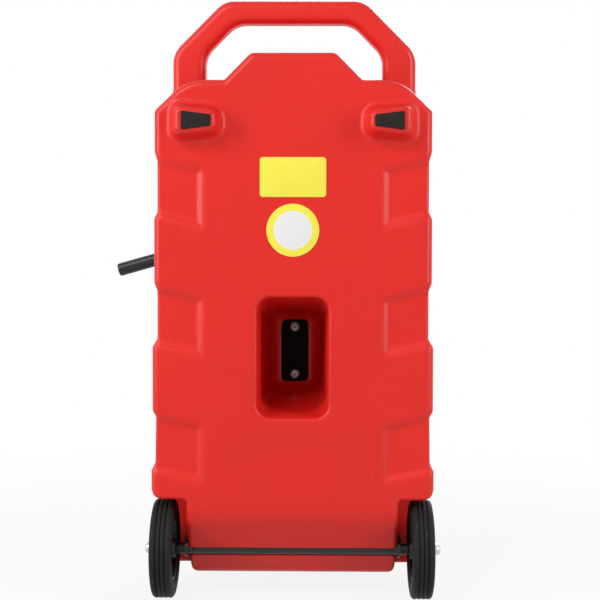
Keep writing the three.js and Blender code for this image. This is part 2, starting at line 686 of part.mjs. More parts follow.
// Backing plate in the recess, and the two bolts that hold the pump's bracket through the web.
const PLATE = { half: 23.75, tall: 109, thick: 4, z: 394.6, round: 9, edge: 0.8, dimple: 1.6 };
const plateFront = RECESS_FLOOR.y - GAP;
const plateBack = plateFront - PLATE.thick;
const holeAt = (z, from, to) => rod("y", [0, 0, z], boltHole, from, to, 14);
piece(
  "backing_plate",
  cut(
    prism(
      boxRing(-PLATE.half, PLATE.half, PLATE.z - PLATE.tall / 2, PLATE.z + PLATE.tall / 2, PLATE.round),
      "y",
      plateBack,
      plateFront,
      PLATE.edge,
      1,
    ),
    ...BAND_Z.map((z) => holeAt(z, plateBack - PAST, plateFront + PAST)),
    rod("y", [0, 0, PLATE.z], PLATE.dimple, plateBack - PAST, plateFront - PLATE.thick / 2, 12),
  ),
  BLACK_STEEL,
);
// A button head is drawn in shares of its radius and height, with a hexagon socket.
const MOUNT = { washer: 8, washerThick: 1.4, head: 7.2, headTall: 4.6, socket: 5, socketDeep: 2.6, nut: 6.5 };
const BUTTON_SHARES = [[1, 0], [1, 0.25], [0.84, 0.65], [0.5, 1], [0, 1]];
const BRACKET_PLATE = { thick: 6, half: 26, end: 18.4, round: 8 };
const bracketFace = BAY.y + GAP;
const bracketTop = bracketFace + BRACKET_PLATE.thick;
const nutFace = bracketTop + GAP;
const washerFront = plateBack - GAP;
const washerBack = washerFront - MOUNT.washerThick;
const headSeat = washerBack - GAP;
BAND_Z.forEach((z, i) => {
  const word = ["upper", "lower"][i];
  const centre = [0, 0, z];
  const head = turned(
    [
      [0, headSeat + PAST],
      [BOLT.radius, headSeat + PAST],
      [BOLT.radius, headSeat],
      ...BUTTON_SHARES.map(([r, h]) => [MOUNT.head * r, headSeat - MOUNT.headTall * h]),
    ],
    "y",
    centre,
    20,
  );
  const socketFloor = headSeat - MOUNT.headTall + MOUNT.socketDeep;
  const socket = hex("y", centre, MOUNT.socket, headSeat - MOUNT.headTall - PAST, socketFloor);
  const shank = rod("y", centre, BOLT.radius, headSeat, nutFace + MOUNT.nut + PAST, 14);
  piece("mount_washer_" + word, tube("y", centre, boltHole, MOUNT.washer, washerBack, washerFront, 14), ZINC);
  piece("mount_bolt_" + word, cut(join(shank, head), socket), ZINC);
  piece(
    "mount_nut_" + word,
    cut(
      hex("y", centre, BOLT.flats, nutFace, nutFace + MOUNT.nut),
      holeAt(z, bracketTop, nutFace + MOUNT.nut + PAST),
    ),
    ZINC,
  );
});

// Pump bracket: a plate on the web with two saddles for the barrel, and a band over each.
const WING = { inner: 12, half: 48, y: 12, tall: 20, screw: 42 };
const saddleBore = BARREL.radius + GAP;
const SCREW = { radius: 2.5, head: 4.3, headTall: 3.6, socket: 4, socketDeep: 2.2, tip: -2.5 };
const screwHole = SCREW.radius + GAP;
const screwHoleAt = (side, z, from, to) => rod("y", [side * WING.screw, 0, z], screwHole, from, to, 16);
function pumpBracket() {
  const [high, low] = BAND_Z;
  const { half, end, round } = BRACKET_PLATE;
  const plate = prism(boxRing(-half, half, low - end, high + end, round), "y", bracketFace, bracketTop);
  const tall = WING.tall / 2;
  const ends = [-1, 1].flatMap((side) => BAND_Z.map((z) => [side, z]));
  const saddles = ends.map(([side, z]) =>
    box(...onSide(side, WING.inner, WING.half), bracketTop - PAST, WING.y, z - tall, z + tall),
  );
  const screws = ends.map(([side, z]) => screwHoleAt(side, z, SCREW.tip - PAST, WING.y + PAST));
  return cut(
    join(plate, ...saddles),
    rod("z", pumpMid, saddleBore, low - end - PAST, high + end + PAST, 28),
    ...BAND_Z.map((z) => holeAt(z, bracketFace - PAST, bracketTop + PAST)),
    ...screws,
  );
}
piece("pump_bracket", pumpBracket(), CAST);

const BAND = { thick: 3, tall: 7 };
const earFace = WING.y + GAP;
const earTop = earFace + BAND.thick;
function clampBand(z) {
  const low = z - BAND.tall;
  const high = z + BAND.tall;
  const outside = saddleBore + BAND.thick;
  const ring = rod("z", pumpMid, outside, low, high, 28);
  const front = box(-WING.half, WING.half, earFace, PUMP_Y + outside + PAST, low, high);
  const ears = box(-WING.half, WING.half, earFace, earTop, low, high);
  return cut(
    join(ring.intersect(front), ears),
    rod("z", pumpMid, saddleBore, low - PAST, high + PAST, 28),
    ...[-1, 1].map((side) => screwHoleAt(side, z, earFace - PAST, earTop + PAST)),
  );
}
BAND_Z.forEach((z, i) => {
  const word = ["upper", "lower"][i];
  piece("clamp_band_" + word, clampBand(z), BLACK_STEEL);
  [-1, 1].forEach((side) => {
    const spot = [side * WING.screw, 0, z];
    const seat = earTop + GAP;
    const top = seat + SCREW.headTall;
    const screw = join(
      rod("y", spot, SCREW.radius, SCREW.tip, seat + PAST, 16),
      rod("y", spot, SCREW.head, seat, top, 14),
    );
    const socket = hex("y", spot, SCREW.socket, top - SCREW.socketDeep, top + PAST);
    piece(`clamp_screw_${word}_${side < 0 ? "left" : "right"}`, cut(screw, socket), ZINC);
  });
});

// Barrel, foot with the suction valve's seat, and the valve's winged disc.
piece("pump_barrel", tube("z", pumpMid, BARREL.bore, BARREL.radius, BARREL.low, BARREL.high, 28), CAST);
const ELBOW = { radius: 10, bore: 7, bend: 21, inside: 20 };
const elbowHole = ELBOW.radius + GAP;
const ledge = BARREL.low - GAP;
const spigot = BARREL.bore - 0.5;
const cupLow = SEAT_Z - CUP.deep;
const cupHigh = BARREL.low + CUP.lap;
piece(
  "pump_foot",
  turned(
    [
      [elbowHole, cupLow],
      [CUP.floor, cupLow],
      [CUP.radius, cupLow + CUP.slope],
      [CUP.radius, cupHigh - CUP.edge],
      [CUP.radius - CUP.edge, cupHigh],
      [saddleBore, cupHigh],
      [saddleBore, ledge],
      [spigot, ledge],
      [spigot, SEAT_Z],
      [THROAT.radius, SEAT_Z],
      [THROAT.radius, THROAT_Z],
      [elbowHole, THROAT_Z],
      [elbowHole, cupLow],
    ],
    "z",
    pumpMid,
    28,
  ),
  CAST,
);
const DISC = { radius: 18, thick: 3, wing: 11, wingThick: 1, wingTall: 12 };
const discLow = SEAT_Z + GAP;
const { wing, wingThick } = DISC;
const wings = [SEAT_Z - DISC.wingTall, SEAT_Z + PAST];
piece(
  "foot_valve_disc",
  join(
    rod("z", pumpMid, DISC.radius, discLow, discLow + DISC.thick, AROUND),
    box(-wing, wing, PUMP_Y - wingThick, PUMP_Y + wingThick, ...wings),
    box(-wingThick, wingThick, PUMP_Y - wing, PUMP_Y + wing, ...wings),
  ),
  BRASS,
);

// Suction line: elbow through the wall, its grommet, the dip tube and the strainer.
function suctionElbow(radius, past) {
  const turnMid = [PUMP_Y - ELBOW.bend, INLET_Z + ELBOW.bend];
  const end = BAY.y - ELBOW.inside - past;
  return bar([[PUMP_Y, THROAT_Z - GAP + past], ...bend(turnMid, ELBOW.bend, 0, -90), [end, INLET_Z]], radius);
}
piece("suction_elbow", cut(suctionElbow(ELBOW.radius, 0), suctionElbow(ELBOW.bore, PAST)), BLACK_PLASTIC);
const GROMMET = { flange: 19, edge: 18, deep: 6, proud: 3 };
const grommetIn = BAY.y - GROMMET.deep;
const grommetOut = BAY.y + GROMMET.proud;
piece(
  "inlet_grommet",
  turned(
    [
      [elbowHole, grommetIn],
      [INLET_HOLE - GAP, grommetIn],
      [INLET_HOLE - GAP, BAY.y + GAP],
      [GROMMET.flange, BAY.y + GAP],
      [GROMMET.edge, grommetOut],
      [elbowHole, grommetOut],
      [elbowHole, grommetIn],
    ],
    "y",
    [0, 0, INLET_Z],
    AROUND,
  ),
  RUBBER,
);
const DIP = { radius: 12.5, start: 8, turn: 30, bend: 22, end: 66 };
const dipY = BAY.y - DIP.turn - DIP.bend;
function dipTube(radius, past) {
  const turnMid = [BAY.y - DIP.turn, INLET_Z - DIP.bend];
  const start = [BAY.y - DIP.start + past, INLET_Z];
  return bar([start, ...bend(turnMid, DIP.bend, 90, 180), [dipY, DIP.end - past]], radius);
}
piece("dip_tube", cut(dipTube(DIP.radius, 0), dipTube(elbowHole, PAST)), BLACK_PLASTIC);
const STRAINER = { radius: 16, over: 14, under: 22, floor: 3 };
const STRAINER_SLOT = { count: 3, wide: 3, tall: 12, up: 11 };
function strainer() {
  const centre = [0, dipY, 0];
  const inner = DIP.radius + GAP;
  const low = DIP.end - STRAINER.under;
  const high = DIP.end + STRAINER.over;
  const { radius, floor } = STRAINER;
  const cup = turned(
    [[0, low], [radius, low], [radius, high], [inner, high], [inner, low + floor], [0, low + floor]],
    "z",
    centre,
    16,
  );
  const slot = STRAINER_SLOT;
  const cuts = Array.from({ length: slot.count }, (_, k) =>
    solid(
      new THREE.BoxGeometry(2 * (radius + PAST), slot.wide, slot.tall)
        .rotateZ((k * Math.PI) / slot.count)
        .translate(0, dipY, low + slot.up),
    ),
  );
  return cut(cup, ...cuts);
}
piece("strainer", strainer(), ACETAL);

// Head: closes the barrel, guides the rod, leads fuel out to the left and carries the fulcrum fork.
const outletMid = [0, PUMP_Y, HEAD_LOW + HEAD.outlet];
const rodHole = ROD.radius + ROD.clear;
const PORT = { radius: 12, out: 8, in: 8, bore: 7, deep: 18 };
const portEnd = -HEAD.radius - PORT.out;
const CHEEK = { inner: 20, outer: 48, low: 9, waist: 57.8, lean: 23, shoulder: 15, gap: 8, thick: 5 };
const EYE = { out: 13, under: 6, over: 12, side: 11 };
const TIE = { inner: 34, outer: 47, half: 11, low: 7, high: 35 };
function pumpHead() {
  const roof = HEAD_HIGH - HEAD.roof;
  const collar = HEAD_HIGH + HEAD.collar;
  const cap = turned(
    [
      [rodHole, collar],
      [rodHole, roof],
      [spigot, roof],
      [spigot, BARREL.high + GAP],
      [saddleBore, BARREL.high + GAP],
      [saddleBore, HEAD_LOW],
      [HEAD.radius - HEAD.edge / 2, HEAD_LOW],
      [HEAD.radius, HEAD_LOW + HEAD.edge / 2],
      [HEAD.radius, HEAD_HIGH - HEAD.edge],
      [HEAD.radius - HEAD.edge, HEAD_HIGH],
      [HEAD.collarRadius, HEAD_HIGH],
      [HEAD.collarRadius, collar],
      [rodHole, collar],
    ],
    "z",
    pumpMid,
    28,
  );
  const cheek = rounded([
    [CHEEK.inner, HEAD_HIGH - CHEEK.low, 3],
    [CHEEK.outer, HEAD_HIGH - CHEEK.low, 3],
    [FULCRUM.x + EYE.out, FULCRUM.z - EYE.under, 10],
    [FULCRUM.x + EYE.out - 3, FULCRUM.z + EYE.over, 11],
    [FULCRUM.x - EYE.side, FULCRUM.z + EYE.over, 11],
    [FULCRUM.x - CHEEK.lean, FULCRUM.z - CHEEK.waist, 20],
    [CHEEK.inner, HEAD_HIGH + CHEEK.shoulder, 12],
  ]);
  const { gap, thick } = CHEEK;
  const cheeks = [-gap - thick, gap].map((from) => prism(cheek, "y", PUMP_Y + from, PUMP_Y + from + thick));
  const tie = box(
    TIE.inner, TIE.outer, PUMP_Y - TIE.half, PUMP_Y + TIE.half, HEAD_HIGH - TIE.low, HEAD_HIGH + TIE.high,
  );
  const port = rod("x", outletMid, PORT.radius, portEnd, -HEAD.radius + PORT.in, AROUND);
  const bore = rod("x", outletMid, PORT.bore + GAP, portEnd - PAST, -HEAD.radius + PORT.deep, 14);
  const past = gap + thick + PAST;
  const eyes = rod("y", [FULCRUM.x, 0, FULCRUM.z], pinHole, PUMP_Y - past, PUMP_Y + past, 14);
  const socket = rod("z", pumpMid, saddleBore, HEAD_LOW - PAST, BARREL.high + GAP, 28);
  return cut(join(cap, ...cheeks, tie, port), bore, eyes, socket);
}
piece("pump_head", pumpHead(), CAST);
const GLAND = { flats: 27, tall: 12 };
const glandLow = HEAD_HIGH + HEAD.collar + GAP;
piece(
  "gland_nut",
  cut(
    hex("z", pumpMid, GLAND.flats, glandLow, HEAD_HIGH + HEAD.collar + GLAND.tall),
    rod("z", pumpMid, rodHole, glandLow - PAST, glandLow + GLAND.tall + PAST, AROUND),
  ),
  BRASS,
);
// Hose barb: its teeth repeat along it, and a collar seats on the port.
const BARB = { bore: 5, tip: 6.4, out: 38, in: 13, collar: 11, wide: 8 };
const TEETH = { count: 3, radius: 8.6, first: 6, pitch: 8, back: 0.5 };
const barbEnd = portEnd - BARB.out;
const barbIn = portEnd + BARB.in;
const teeth = Array.from({ length: TEETH.count }, (_, k) => {
  const peak = barbEnd + TEETH.first + k * TEETH.pitch;
  return [[TEETH.radius, peak], [PORT.bore, peak + TEETH.back]];
}).flat();
piece(
  "outlet_barb",
  turned(
    [
      [BARB.bore, barbIn],
      [BARB.bore, barbEnd],
      [BARB.tip, barbEnd],
      ...teeth,
      [PORT.bore, portEnd - BARB.wide],
      [BARB.collar, portEnd - BARB.wide],
      [BARB.collar, portEnd - GAP],
      [PORT.bore, portEnd - GAP],
      [PORT.bore, barbIn],
      [BARB.bore, barbIn],
    ],
    "x",
    outletMid,
    18,
  ),
  BRASS,
);

// Piston on its rod. The rod's fork straddles the lever.
const FORK = { half: 10, under: 30, over: 11, round: 5, slot: 5, slotUnder: 20, edge: 2 };
function pistonRod() {
  const { half, under, over, round, slot, slotUnder, edge } = FORK;
  const stem = rod("z", pumpMid, ROD.radius, ROD.low, ROD.pin - under + over / 2, 28);
  const ring = boxRing(-half, half, ROD.pin - under, ROD.pin + over, round, edge);
  return cut(
    join(stem, prism(ring, "y", PUMP_Y - half, PUMP_Y + half)),
    box(-half - PAST, half + PAST, PUMP_Y - slot, PUMP_Y + slot, ROD.pin - slotUnder, ROD.pin + over + PAST),
    rod("y", [0, 0, ROD.pin], pinHole, PUMP_Y - half - PAST, PUMP_Y + half + PAST, 14),
  );
}
piece("piston_rod", pistonRod(), ZINC);
const pistonHole = ROD.radius + GAP;
const sealLow = PISTON.low + PISTON.land;
const sealHigh = sealLow + PISTON.seal;
const PISTON_PORT = { count: 4, radius: 4, out: 15 };
function piston() {
  const body = turned(
    [
      [pistonHole, PISTON.low],
      [PISTON.radius, PISTON.low],
      [PISTON.radius, sealLow],
      [PISTON.core, sealLow],
      [PISTON.core, sealHigh],
      [PISTON.radius, sealHigh],
      [PISTON.radius, PISTON.high],
      [pistonHole, PISTON.high],
      [pistonHole, PISTON.low],
    ],
    "z",
    pumpMid,
    28,
  );
  const ports = Array.from({ length: PISTON_PORT.count }, (_, k) => {
    const a = (2 * Math.PI * k) / PISTON_PORT.count;
    const spot = [PISTON_PORT.out * Math.cos(a), PUMP_Y + PISTON_PORT.out * Math.sin(a), 0];
    return rod("z", spot, PISTON_PORT.radius, PISTON.low - PAST, PISTON.high + PAST, 10);
  });
  return cut(body, ...ports);
}
piece("piston", piston(), ACETAL);
piece(
  "piston_seal",
  tube("z", pumpMid, PISTON.core + GAP, PISTON.sealRadius, sealLow + GAP, sealHigh - GAP, 28),
  RUBBER,
);
const PISTON_NUT = { flats: 19, tall: 6.7 };
const nutHigh = PISTON.low - GAP;
const nutLow = nutHigh - PISTON_NUT.tall;
piece(
  "piston_nut",
  cut(
    hex("z", pumpMid, PISTON_NUT.flats, nutLow, nutHigh),
    rod("z", pumpMid, pistonHole, nutLow - PAST, nutHigh + PAST, 28),
  ),
  ZINC,
);
const VALVE = { radius: 20, thick: 2 };
const valveLow = PISTON.high + GAP;
piece(
  "piston_valve_disc",
  tube("z", pumpMid, rodHole, VALVE.radius, valveLow, valveLow + VALVE.thick, AROUND),
  RUBBER,
);

// A pin with a low head at both ends.
function pin(x, z, half, headRadius) {
  const spot = [x, 0, z];
  const end = half + PIN.head;
  return join(
    rod("y", spot, PIN.radius, PUMP_Y - half, PUMP_Y + half, 14),
    rod("y", spot, headRadius, PUMP_Y - end, PUMP_Y - half, 14),
    rod("y", spot, headRadius, PUMP_Y + half, PUMP_Y + end, 14),
  );
}
piece("fulcrum_pin", pin(FULCRUM.x, FULCRUM.z, CHEEK.gap + CHEEK.thick + GAP, PIN.fulcrumHead), ZINC);
piece("rod_pin", pin(0, ROD.pin, FORK.half + GAP, PIN.rodHead), ZINC);

// The lever is drawn level, pointing to -X from the fulcrum, then tilted and put in place.
const fulcrumMid = [FULCRUM.x, 0, FULCRUM.z];
function onLever(geometry) {
  return geometry.rotateY(-LEVER_TILT).translate(FULCRUM.x, PUMP_Y, FULCRUM.z);
}
function leverPlate(ring, half) {
  const shape = new THREE.Shape(ring.map(([u, v]) => new THREE.Vector2(u, v)));
  const body = new THREE.ExtrudeGeometry(shape, { depth: 2 * half, bevelEnabled: false });
  return solid(onLever(body.translate(0, 0, -half).rotateX(Math.PI / 2)));
}
function leverRound(profile, segments = 24) {
  const body = new THREE.LatheGeometry(profile.map(([r, s]) => new THREE.Vector2(r, s)), segments);
  return solid(onLever(body.rotateZ(Math.PI / 2)));
}
const BLADE = { eye: 13, full: 40, taper: 200, end: 8, round: 3, boss: 11, bossHalf: 7.5 };
const SLOT = { near: 68.5, far: 88.8, half: 5.5, round: 5.4 };
const TANG = { radius: 6, root: 25, chamfer: 1 };
function leverArm() {
  const h = LEVER.tall / 2;
  const { eye, full, taper, end, round } = BLADE;
  const blade = leverPlate(
    rounded([
      [eye, -eye, eye - PAST],
      [eye, eye, eye - PAST],
      [-full, h],
      [-taper, h],
      [-LEVER.bar, end, round],
      [-LEVER.bar, -end, round],
      [-taper, -h],
      [-full, -h],
    ]),
    LEVER.thick / 2,
  );
  const boss = rod("y", fulcrumMid, BLADE.boss, PUMP_Y - BLADE.bossHalf, PUMP_Y + BLADE.bossHalf, AROUND);
  const { radius, root, chamfer } = TANG;
  const tang = leverRound(
    [
      [0, LEVER.bar - root],
      [radius, LEVER.bar - root + radius / 2],
      [radius, LEVER.tang - chamfer],
      [radius - chamfer, LEVER.tang],
      [0, LEVER.tang],
    ],
    14,
  );
  const slot = leverPlate(boxRing(-SLOT.far, -SLOT.near, -SLOT.half, SLOT.half, SLOT.round), LEVER.thick);
  const hole = rod("y", fulcrumMid, pinHole, PUMP_Y - BLADE.boss, PUMP_Y + BLADE.boss, 14);
  return cut(join(blade, boss, tang), slot, hole);
}
piece("lever_arm", leverArm(), BLACK_STEEL);
const GRIP = { start: 10.4, grow: 2, soft: [[0, 3], [0.8, 1], [2.8, 0]] };
const gripHole = TANG.radius + GAP;
const gripLow = LEVER.bar + GAP;
piece(
  "lever_grip",
  leverRound([
    [gripHole, gripLow],
    [GRIP.start, gripLow],
    [LEVER.gripRadius, LEVER.bar + GRIP.grow],
    ...GRIP.soft.map(([inset, before]) => [LEVER.gripRadius - inset, LEVER.grip - before]),
    [0, LEVER.grip],
    [0, LEVER.tang + GAP],
    [gripHole, LEVER.tang + GAP],
    [gripHole, gripLow],
  ]),
  GLOSS_BLACK,
);

export default caddy;
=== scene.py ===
# Fuel caddy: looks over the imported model. Z up; the back, with the recess, faces -Y. Camera, room
# and lamps are in metres. Sizes of the parts are in millimetres, and become metres in their meshes.
import json
from math import cos, pi, radians, sin
import bmesh
import bpy
import numpy as np
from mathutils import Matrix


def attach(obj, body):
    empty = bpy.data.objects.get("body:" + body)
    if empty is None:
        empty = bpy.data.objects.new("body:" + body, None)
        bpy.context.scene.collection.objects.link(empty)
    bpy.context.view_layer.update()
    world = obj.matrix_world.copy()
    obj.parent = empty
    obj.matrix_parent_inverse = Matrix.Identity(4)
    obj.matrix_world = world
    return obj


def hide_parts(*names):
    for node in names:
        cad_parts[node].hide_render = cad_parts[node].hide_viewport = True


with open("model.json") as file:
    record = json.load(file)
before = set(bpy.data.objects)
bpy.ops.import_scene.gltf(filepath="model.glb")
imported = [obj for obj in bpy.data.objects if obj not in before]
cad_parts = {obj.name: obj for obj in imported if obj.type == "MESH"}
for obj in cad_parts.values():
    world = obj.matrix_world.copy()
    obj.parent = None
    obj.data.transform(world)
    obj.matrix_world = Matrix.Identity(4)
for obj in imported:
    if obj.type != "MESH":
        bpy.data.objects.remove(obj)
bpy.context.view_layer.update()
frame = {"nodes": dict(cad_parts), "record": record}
scene = bpy.context.scene
scene.view_settings.view_transform = "Standard"

# Camera: two metres behind the back, just right of its middle and a little over mid height. It
# has a 75 mm lens on a 36 mm frame, and is turned a little left and down and a trace clockwise.
CAMERA_AT = (0.0398, -2.2326, 0.5557)
TURNED_DOWN, ROLLED, TURNED_LEFT = 1.865, 0.15, 0.81
lens = bpy.data.cameras.new("camera")
lens.lens, lens.sensor_width = 75, 36
camera = bpy.data.objects.new("camera", lens)
camera.location = CAMERA_AT
camera.rotation_euler = (radians(90 - TURNED_DOWN), radians(-ROLLED), radians(TURNED_LEFT))
scene.collection.objects.link(camera)
scene.camera = camera

# Room: white as the camera, gloss and glass see it, and only a dim grey as a light. The floor is
# pale and matt, so that it keeps the shadow, and it glows to full white away from the object.
WHITE = (1, 1, 1, 1)
ROOM_LIGHT = 0.08
FLOOR_HALF, FLOOR_PALE = 9, (0.70, 0.70, 0.70, 1)
GLOW_NEAR, GLOW_FAR, GLOW_LEAST = 0.5, 1.6, 0.88


def node(tree, kind, inputs=(), **fields):
    """Adds a shader node, sets its fields, and sets or links the inputs given by name or number."""
    made = tree.nodes.new(kind)
    for key, value in fields.items():
        setattr(made, key, value)
    for key, value in dict(inputs).items():
        if isinstance(value, bpy.types.NodeSocket):
            tree.links.new(value, made.inputs[key])
        else:
            made.inputs[key].default_value = value
    return made


def maths(tree, operation, *values):
    """The result of an operation on numbers or sockets, such as the first times the second."""
    return node(tree, "ShaderNodeMath", enumerate(values), operation=operation).outputs[0]


def remap(tree, value, low, high, first, last, **fields):
    """A value carried from the range low to high to the range first to last, and held at its ends."""
    inputs = {0: value, 1: low, 2: high, 3: first, 4: last}
    return node(tree, "ShaderNodeMapRange", inputs, **fields).outputs[0]


def seen(tree):
    """One where the camera, glass or gloss looks, and nought for light: the largest of the three."""
    path = node(tree, "ShaderNodeLightPath").outputs
    clear = maths(tree, "MAXIMUM", path["Is Camera Ray"], path["Is Transmission Ray"])
    return maths(tree, "MAXIMUM", clear, path["Is Glossy Ray"])


world = bpy.data.worlds.new("room")
world.use_nodes = True
room = world.node_tree
room.nodes.clear()
dim = node(room, "ShaderNodeBackground", {"Color": WHITE, "Strength": ROOM_LIGHT})
bright = node(room, "ShaderNodeBackground", {"Color": WHITE, "Strength": 1.0})
blend = node(room, "ShaderNodeMixShader", {0: seen(room), 1: dim.outputs[0], 2: bright.outputs[0]})
node(room, "ShaderNodeOutputWorld", {"Surface": blend.outputs[0]})
scene.world = world

floor_mesh = bpy.data.meshes.new("floor")
corners = [(FLOOR_HALF * u, FLOOR_HALF * v, 0) for u, v in ((-1, -1), (1, -1), (1, 1), (-1, 1))]
floor_mesh.from_pydata(corners, [], [(0, 1, 2, 3)])
floor = bpy.data.objects.new("floor", floor_mesh)
scene.collection.objects.link(floor)
pale = bpy.data.materials.new("floor")
pale.use_nodes = True
tree = pale.node_tree
tree.nodes.clear()
where = node(tree, "ShaderNodeTexCoord").outputs["Object"]
away = node(tree, "ShaderNodeVectorMath", {0: where}, operation="LENGTH").outputs["Value"]
far = remap(tree, away, GLOW_NEAR, GLOW_FAR, GLOW_LEAST, 1.0, interpolation_type="SMOOTHSTEP")
share = maths(tree, "MULTIPLY", seen(tree), far)
matt = node(tree, "ShaderNodeBsdfDiffuse", {"Color": FLOOR_PALE})
glow = node(tree, "ShaderNodeEmission", {"Color": WHITE, "Strength": 1.0})
blend = node(tree, "ShaderNodeMixShader", {0: share, 1: matt.outputs[0], 2: glow.outputs[0]})
node(tree, "ShaderNodeOutputMaterial", {"Surface": blend.outputs[0]})
floor_mesh.materials.append(pale)

# Lamps: a tall soft one on each side of the back, a smaller one high on the left, which draws the
# highlights, a weak one behind the camera, and one over the pump side.
SIDE_AIM, SIDE_SIZE = (0, -0.1, 0.5), (0.6, 2.1)


def lamp(name, at, aim, size, power):
    """An area lamp at a place, turned to face the aim point: tilted by the angle between the line
    back from the aim and the vertical, then turned by that line's direction on the floor."""
    light = bpy.data.lights.new(name, "AREA")
    light.shape, (light.size, light.size_y), light.energy = "RECTANGLE", size, power
    made = bpy.data.objects.new(name, light)
    made.location = at
    x, y, z = np.array(at) - np.array(aim)
    made.rotation_euler = (np.arctan2(np.hypot(x, y), z), 0, np.arctan2(x, -y))
    scene.collection.objects.link(made)


lamp("side_left", at=(-2.3, -1.45, 1.35), aim=SIDE_AIM, size=SIDE_SIZE, power=46.5)
lamp("side_right", at=(2.3, -1.45, 1.35), aim=SIDE_AIM, size=SIDE_SIZE, power=39.5)
lamp("over", at=(-1.45, -2.6, 3.0), aim=(0, -0.2, 0.5), size=(1.5, 0.6), power=36)
lamp("high_front", at=(0, -4.0, 2.0), aim=(0, -0.2, 0.6), size=(3.0, 1.2), power=4)
lamp("pump_side", at=(0.8, 2.9, 2.4), aim=(0, 0, 0.5), size=(2.2, 1.8), power=92)

# Tank: one hollow red moulding in polyethylene, moulded in one with its handle, pockets, recess
# and mounds, so that every edge runs into the next with a soft fillet. Its skin has a fine orange
# peel, faint clouds and a few scuffs.
GREY = (0.5, 0.5, 0.5, 1)
CHALK = (0.75, 0.7, 0.68, 1)
SCUFF_TURN, SCUFF_STRETCH = (0.3, 0.2, 0.5), (260, 260, 9)


def effect(name, inputs):
    """An empty shader group with these inputs and their defaults. It puts out a colour, a
    roughness and a height."""
    tree = bpy.data.node_groups.new(name, "ShaderNodeTree")
    for label, value in inputs.items():
        kind = "NodeSocketColor" if isinstance(value, tuple) else "NodeSocketFloat"
        made = tree.interface.new_socket(label, in_out="INPUT", socket_type=kind)
        made.default_value = value
    for label, kind in (("Color", "Color"), ("Roughness", "Float"), ("Height", "Float")):
        tree.interface.new_socket(label, in_out="OUTPUT", socket_type="NodeSocket" + kind)
    given, result = tree.nodes.new("NodeGroupInput"), tree.nodes.new("NodeGroupOutput")
    return tree, given.outputs, result.inputs


def noise(tree, at, scale, detail, roughness=0.5):
    """Noise from nought to one: octaves, each half as wide as the last and roughness as strong."""
    inputs = {"Vector": at, "Scale": scale, "Detail": detail, "Roughness": roughness}
    return node(tree, "ShaderNodeTexNoise", inputs).outputs[0]


def swinging(tree, value):
    """Noise spread from minus one to one: its middle, from 0.3 to 0.7, fills that range."""
    return remap(tree, value, 0.3, 0.7, -1.0, 1.0)


def tint(tree, colour, shade):
    """A colour times a shade."""
    return node(tree, "ShaderNodeHueSaturation", {"Value": shade, "Color": colour}).outputs[0]


def put_out(tree, result, **values):
    """Links what a group works out to its outputs of those names."""
    for label, value in values.items():
        tree.links.new(value, result[label])


moulded, given, result = effect(
    "moulded_skin",
    {"Color": GREY, "Roughness": 0.5, "Grain Scale": 900.0, "Cloud": 0.06, "Scuff": 0.15},
)
where = node(moulded, "ShaderNodeTexCoord").outputs["Object"]
cloud = noise(moulded, where, 8.0, 4.0, 0.55)
grain = noise(moulded, where, given["Grain Scale"], 2.0)
inputs = {"Vector": where, "Rotation": SCUFF_TURN, "Scale": SCUFF_STRETCH}
stretched = node(moulded, "ShaderNodeMapping", inputs).outputs[0]
thin = remap(moulded, noise(moulded, stretched, 1.0, 1.0), 0.70, 0.76, 0.0, 1.0)
some = remap(moulded, noise(moulded, where, 17.0, 2.0), 0.52, 0.66, 0.0, 1.0)
scuff = maths(moulded, "MULTIPLY", maths(moulded, "MULTIPLY", thin, some), given["Scuff"])
swing = swinging(moulded, cloud)
shade = maths(moulded, "MULTIPLY_ADD", swing, given["Cloud"], 1.0)
inputs = {0: scuff, 6: tint(moulded, given["Color"], shade), 7: CHALK}
marked = node(moulded, "ShaderNodeMix", inputs, data_type="RGBA").outputs[2]
rough = maths(moulded, "MULTIPLY_ADD", swing, 0.045, given["Roughness"])
rough = maths(moulded, "MULTIPLY_ADD", scuff, 0.5, rough)
height = maths(moulded, "MULTIPLY_ADD", cloud, 0.8, grain)
put_out(moulded, result, Color=marked, Roughness=rough, Height=height)


def finish(name, group, values, bump=0.0002, strength=0.25, **shader):
    """A material whose colour, roughness and bump come from a shader group with these values. The
    bump is the group's height times a distance in metres. The rest is set on the shader."""
    made = bpy.data.materials.new(name)
    made.use_nodes = True
    tree = made.node_tree
    tree.nodes.clear()
    look = node(tree, "ShaderNodeGroup", node_tree=group)
    for label, value in values.items():
        look.inputs[label].default_value = (*value, 1) if isinstance(value, tuple) else value
    skin = look.outputs
    inputs = {"Height": skin["Height"], "Distance": bump, "Strength": strength}
    normal = node(tree, "ShaderNodeBump", inputs).outputs[0]
    inputs = {"Base Color": skin["Color"], "Roughness": skin["Roughness"], "Normal": normal}
    inputs |= {key.replace("_", " "): value for key, value in shader.items()}
    surface = node(tree, "ShaderNodeBsdfPrincipled", inputs)
    node(tree, "ShaderNodeOutputMaterial", {"Surface": surface.outputs[0]})
    return made


red = finish(
    "red_shell",
    moulded,
    {
        "Color": (0.76, 0.021, 0.015),
        "Roughness": 0.36,
        "Grain Scale": 700.0,
        "Cloud": 0.03,
        "Scuff": 0.03,
    },
    bump=0.0003,
    strength=0.2,
    Specular_IOR_Level=0.34,
)


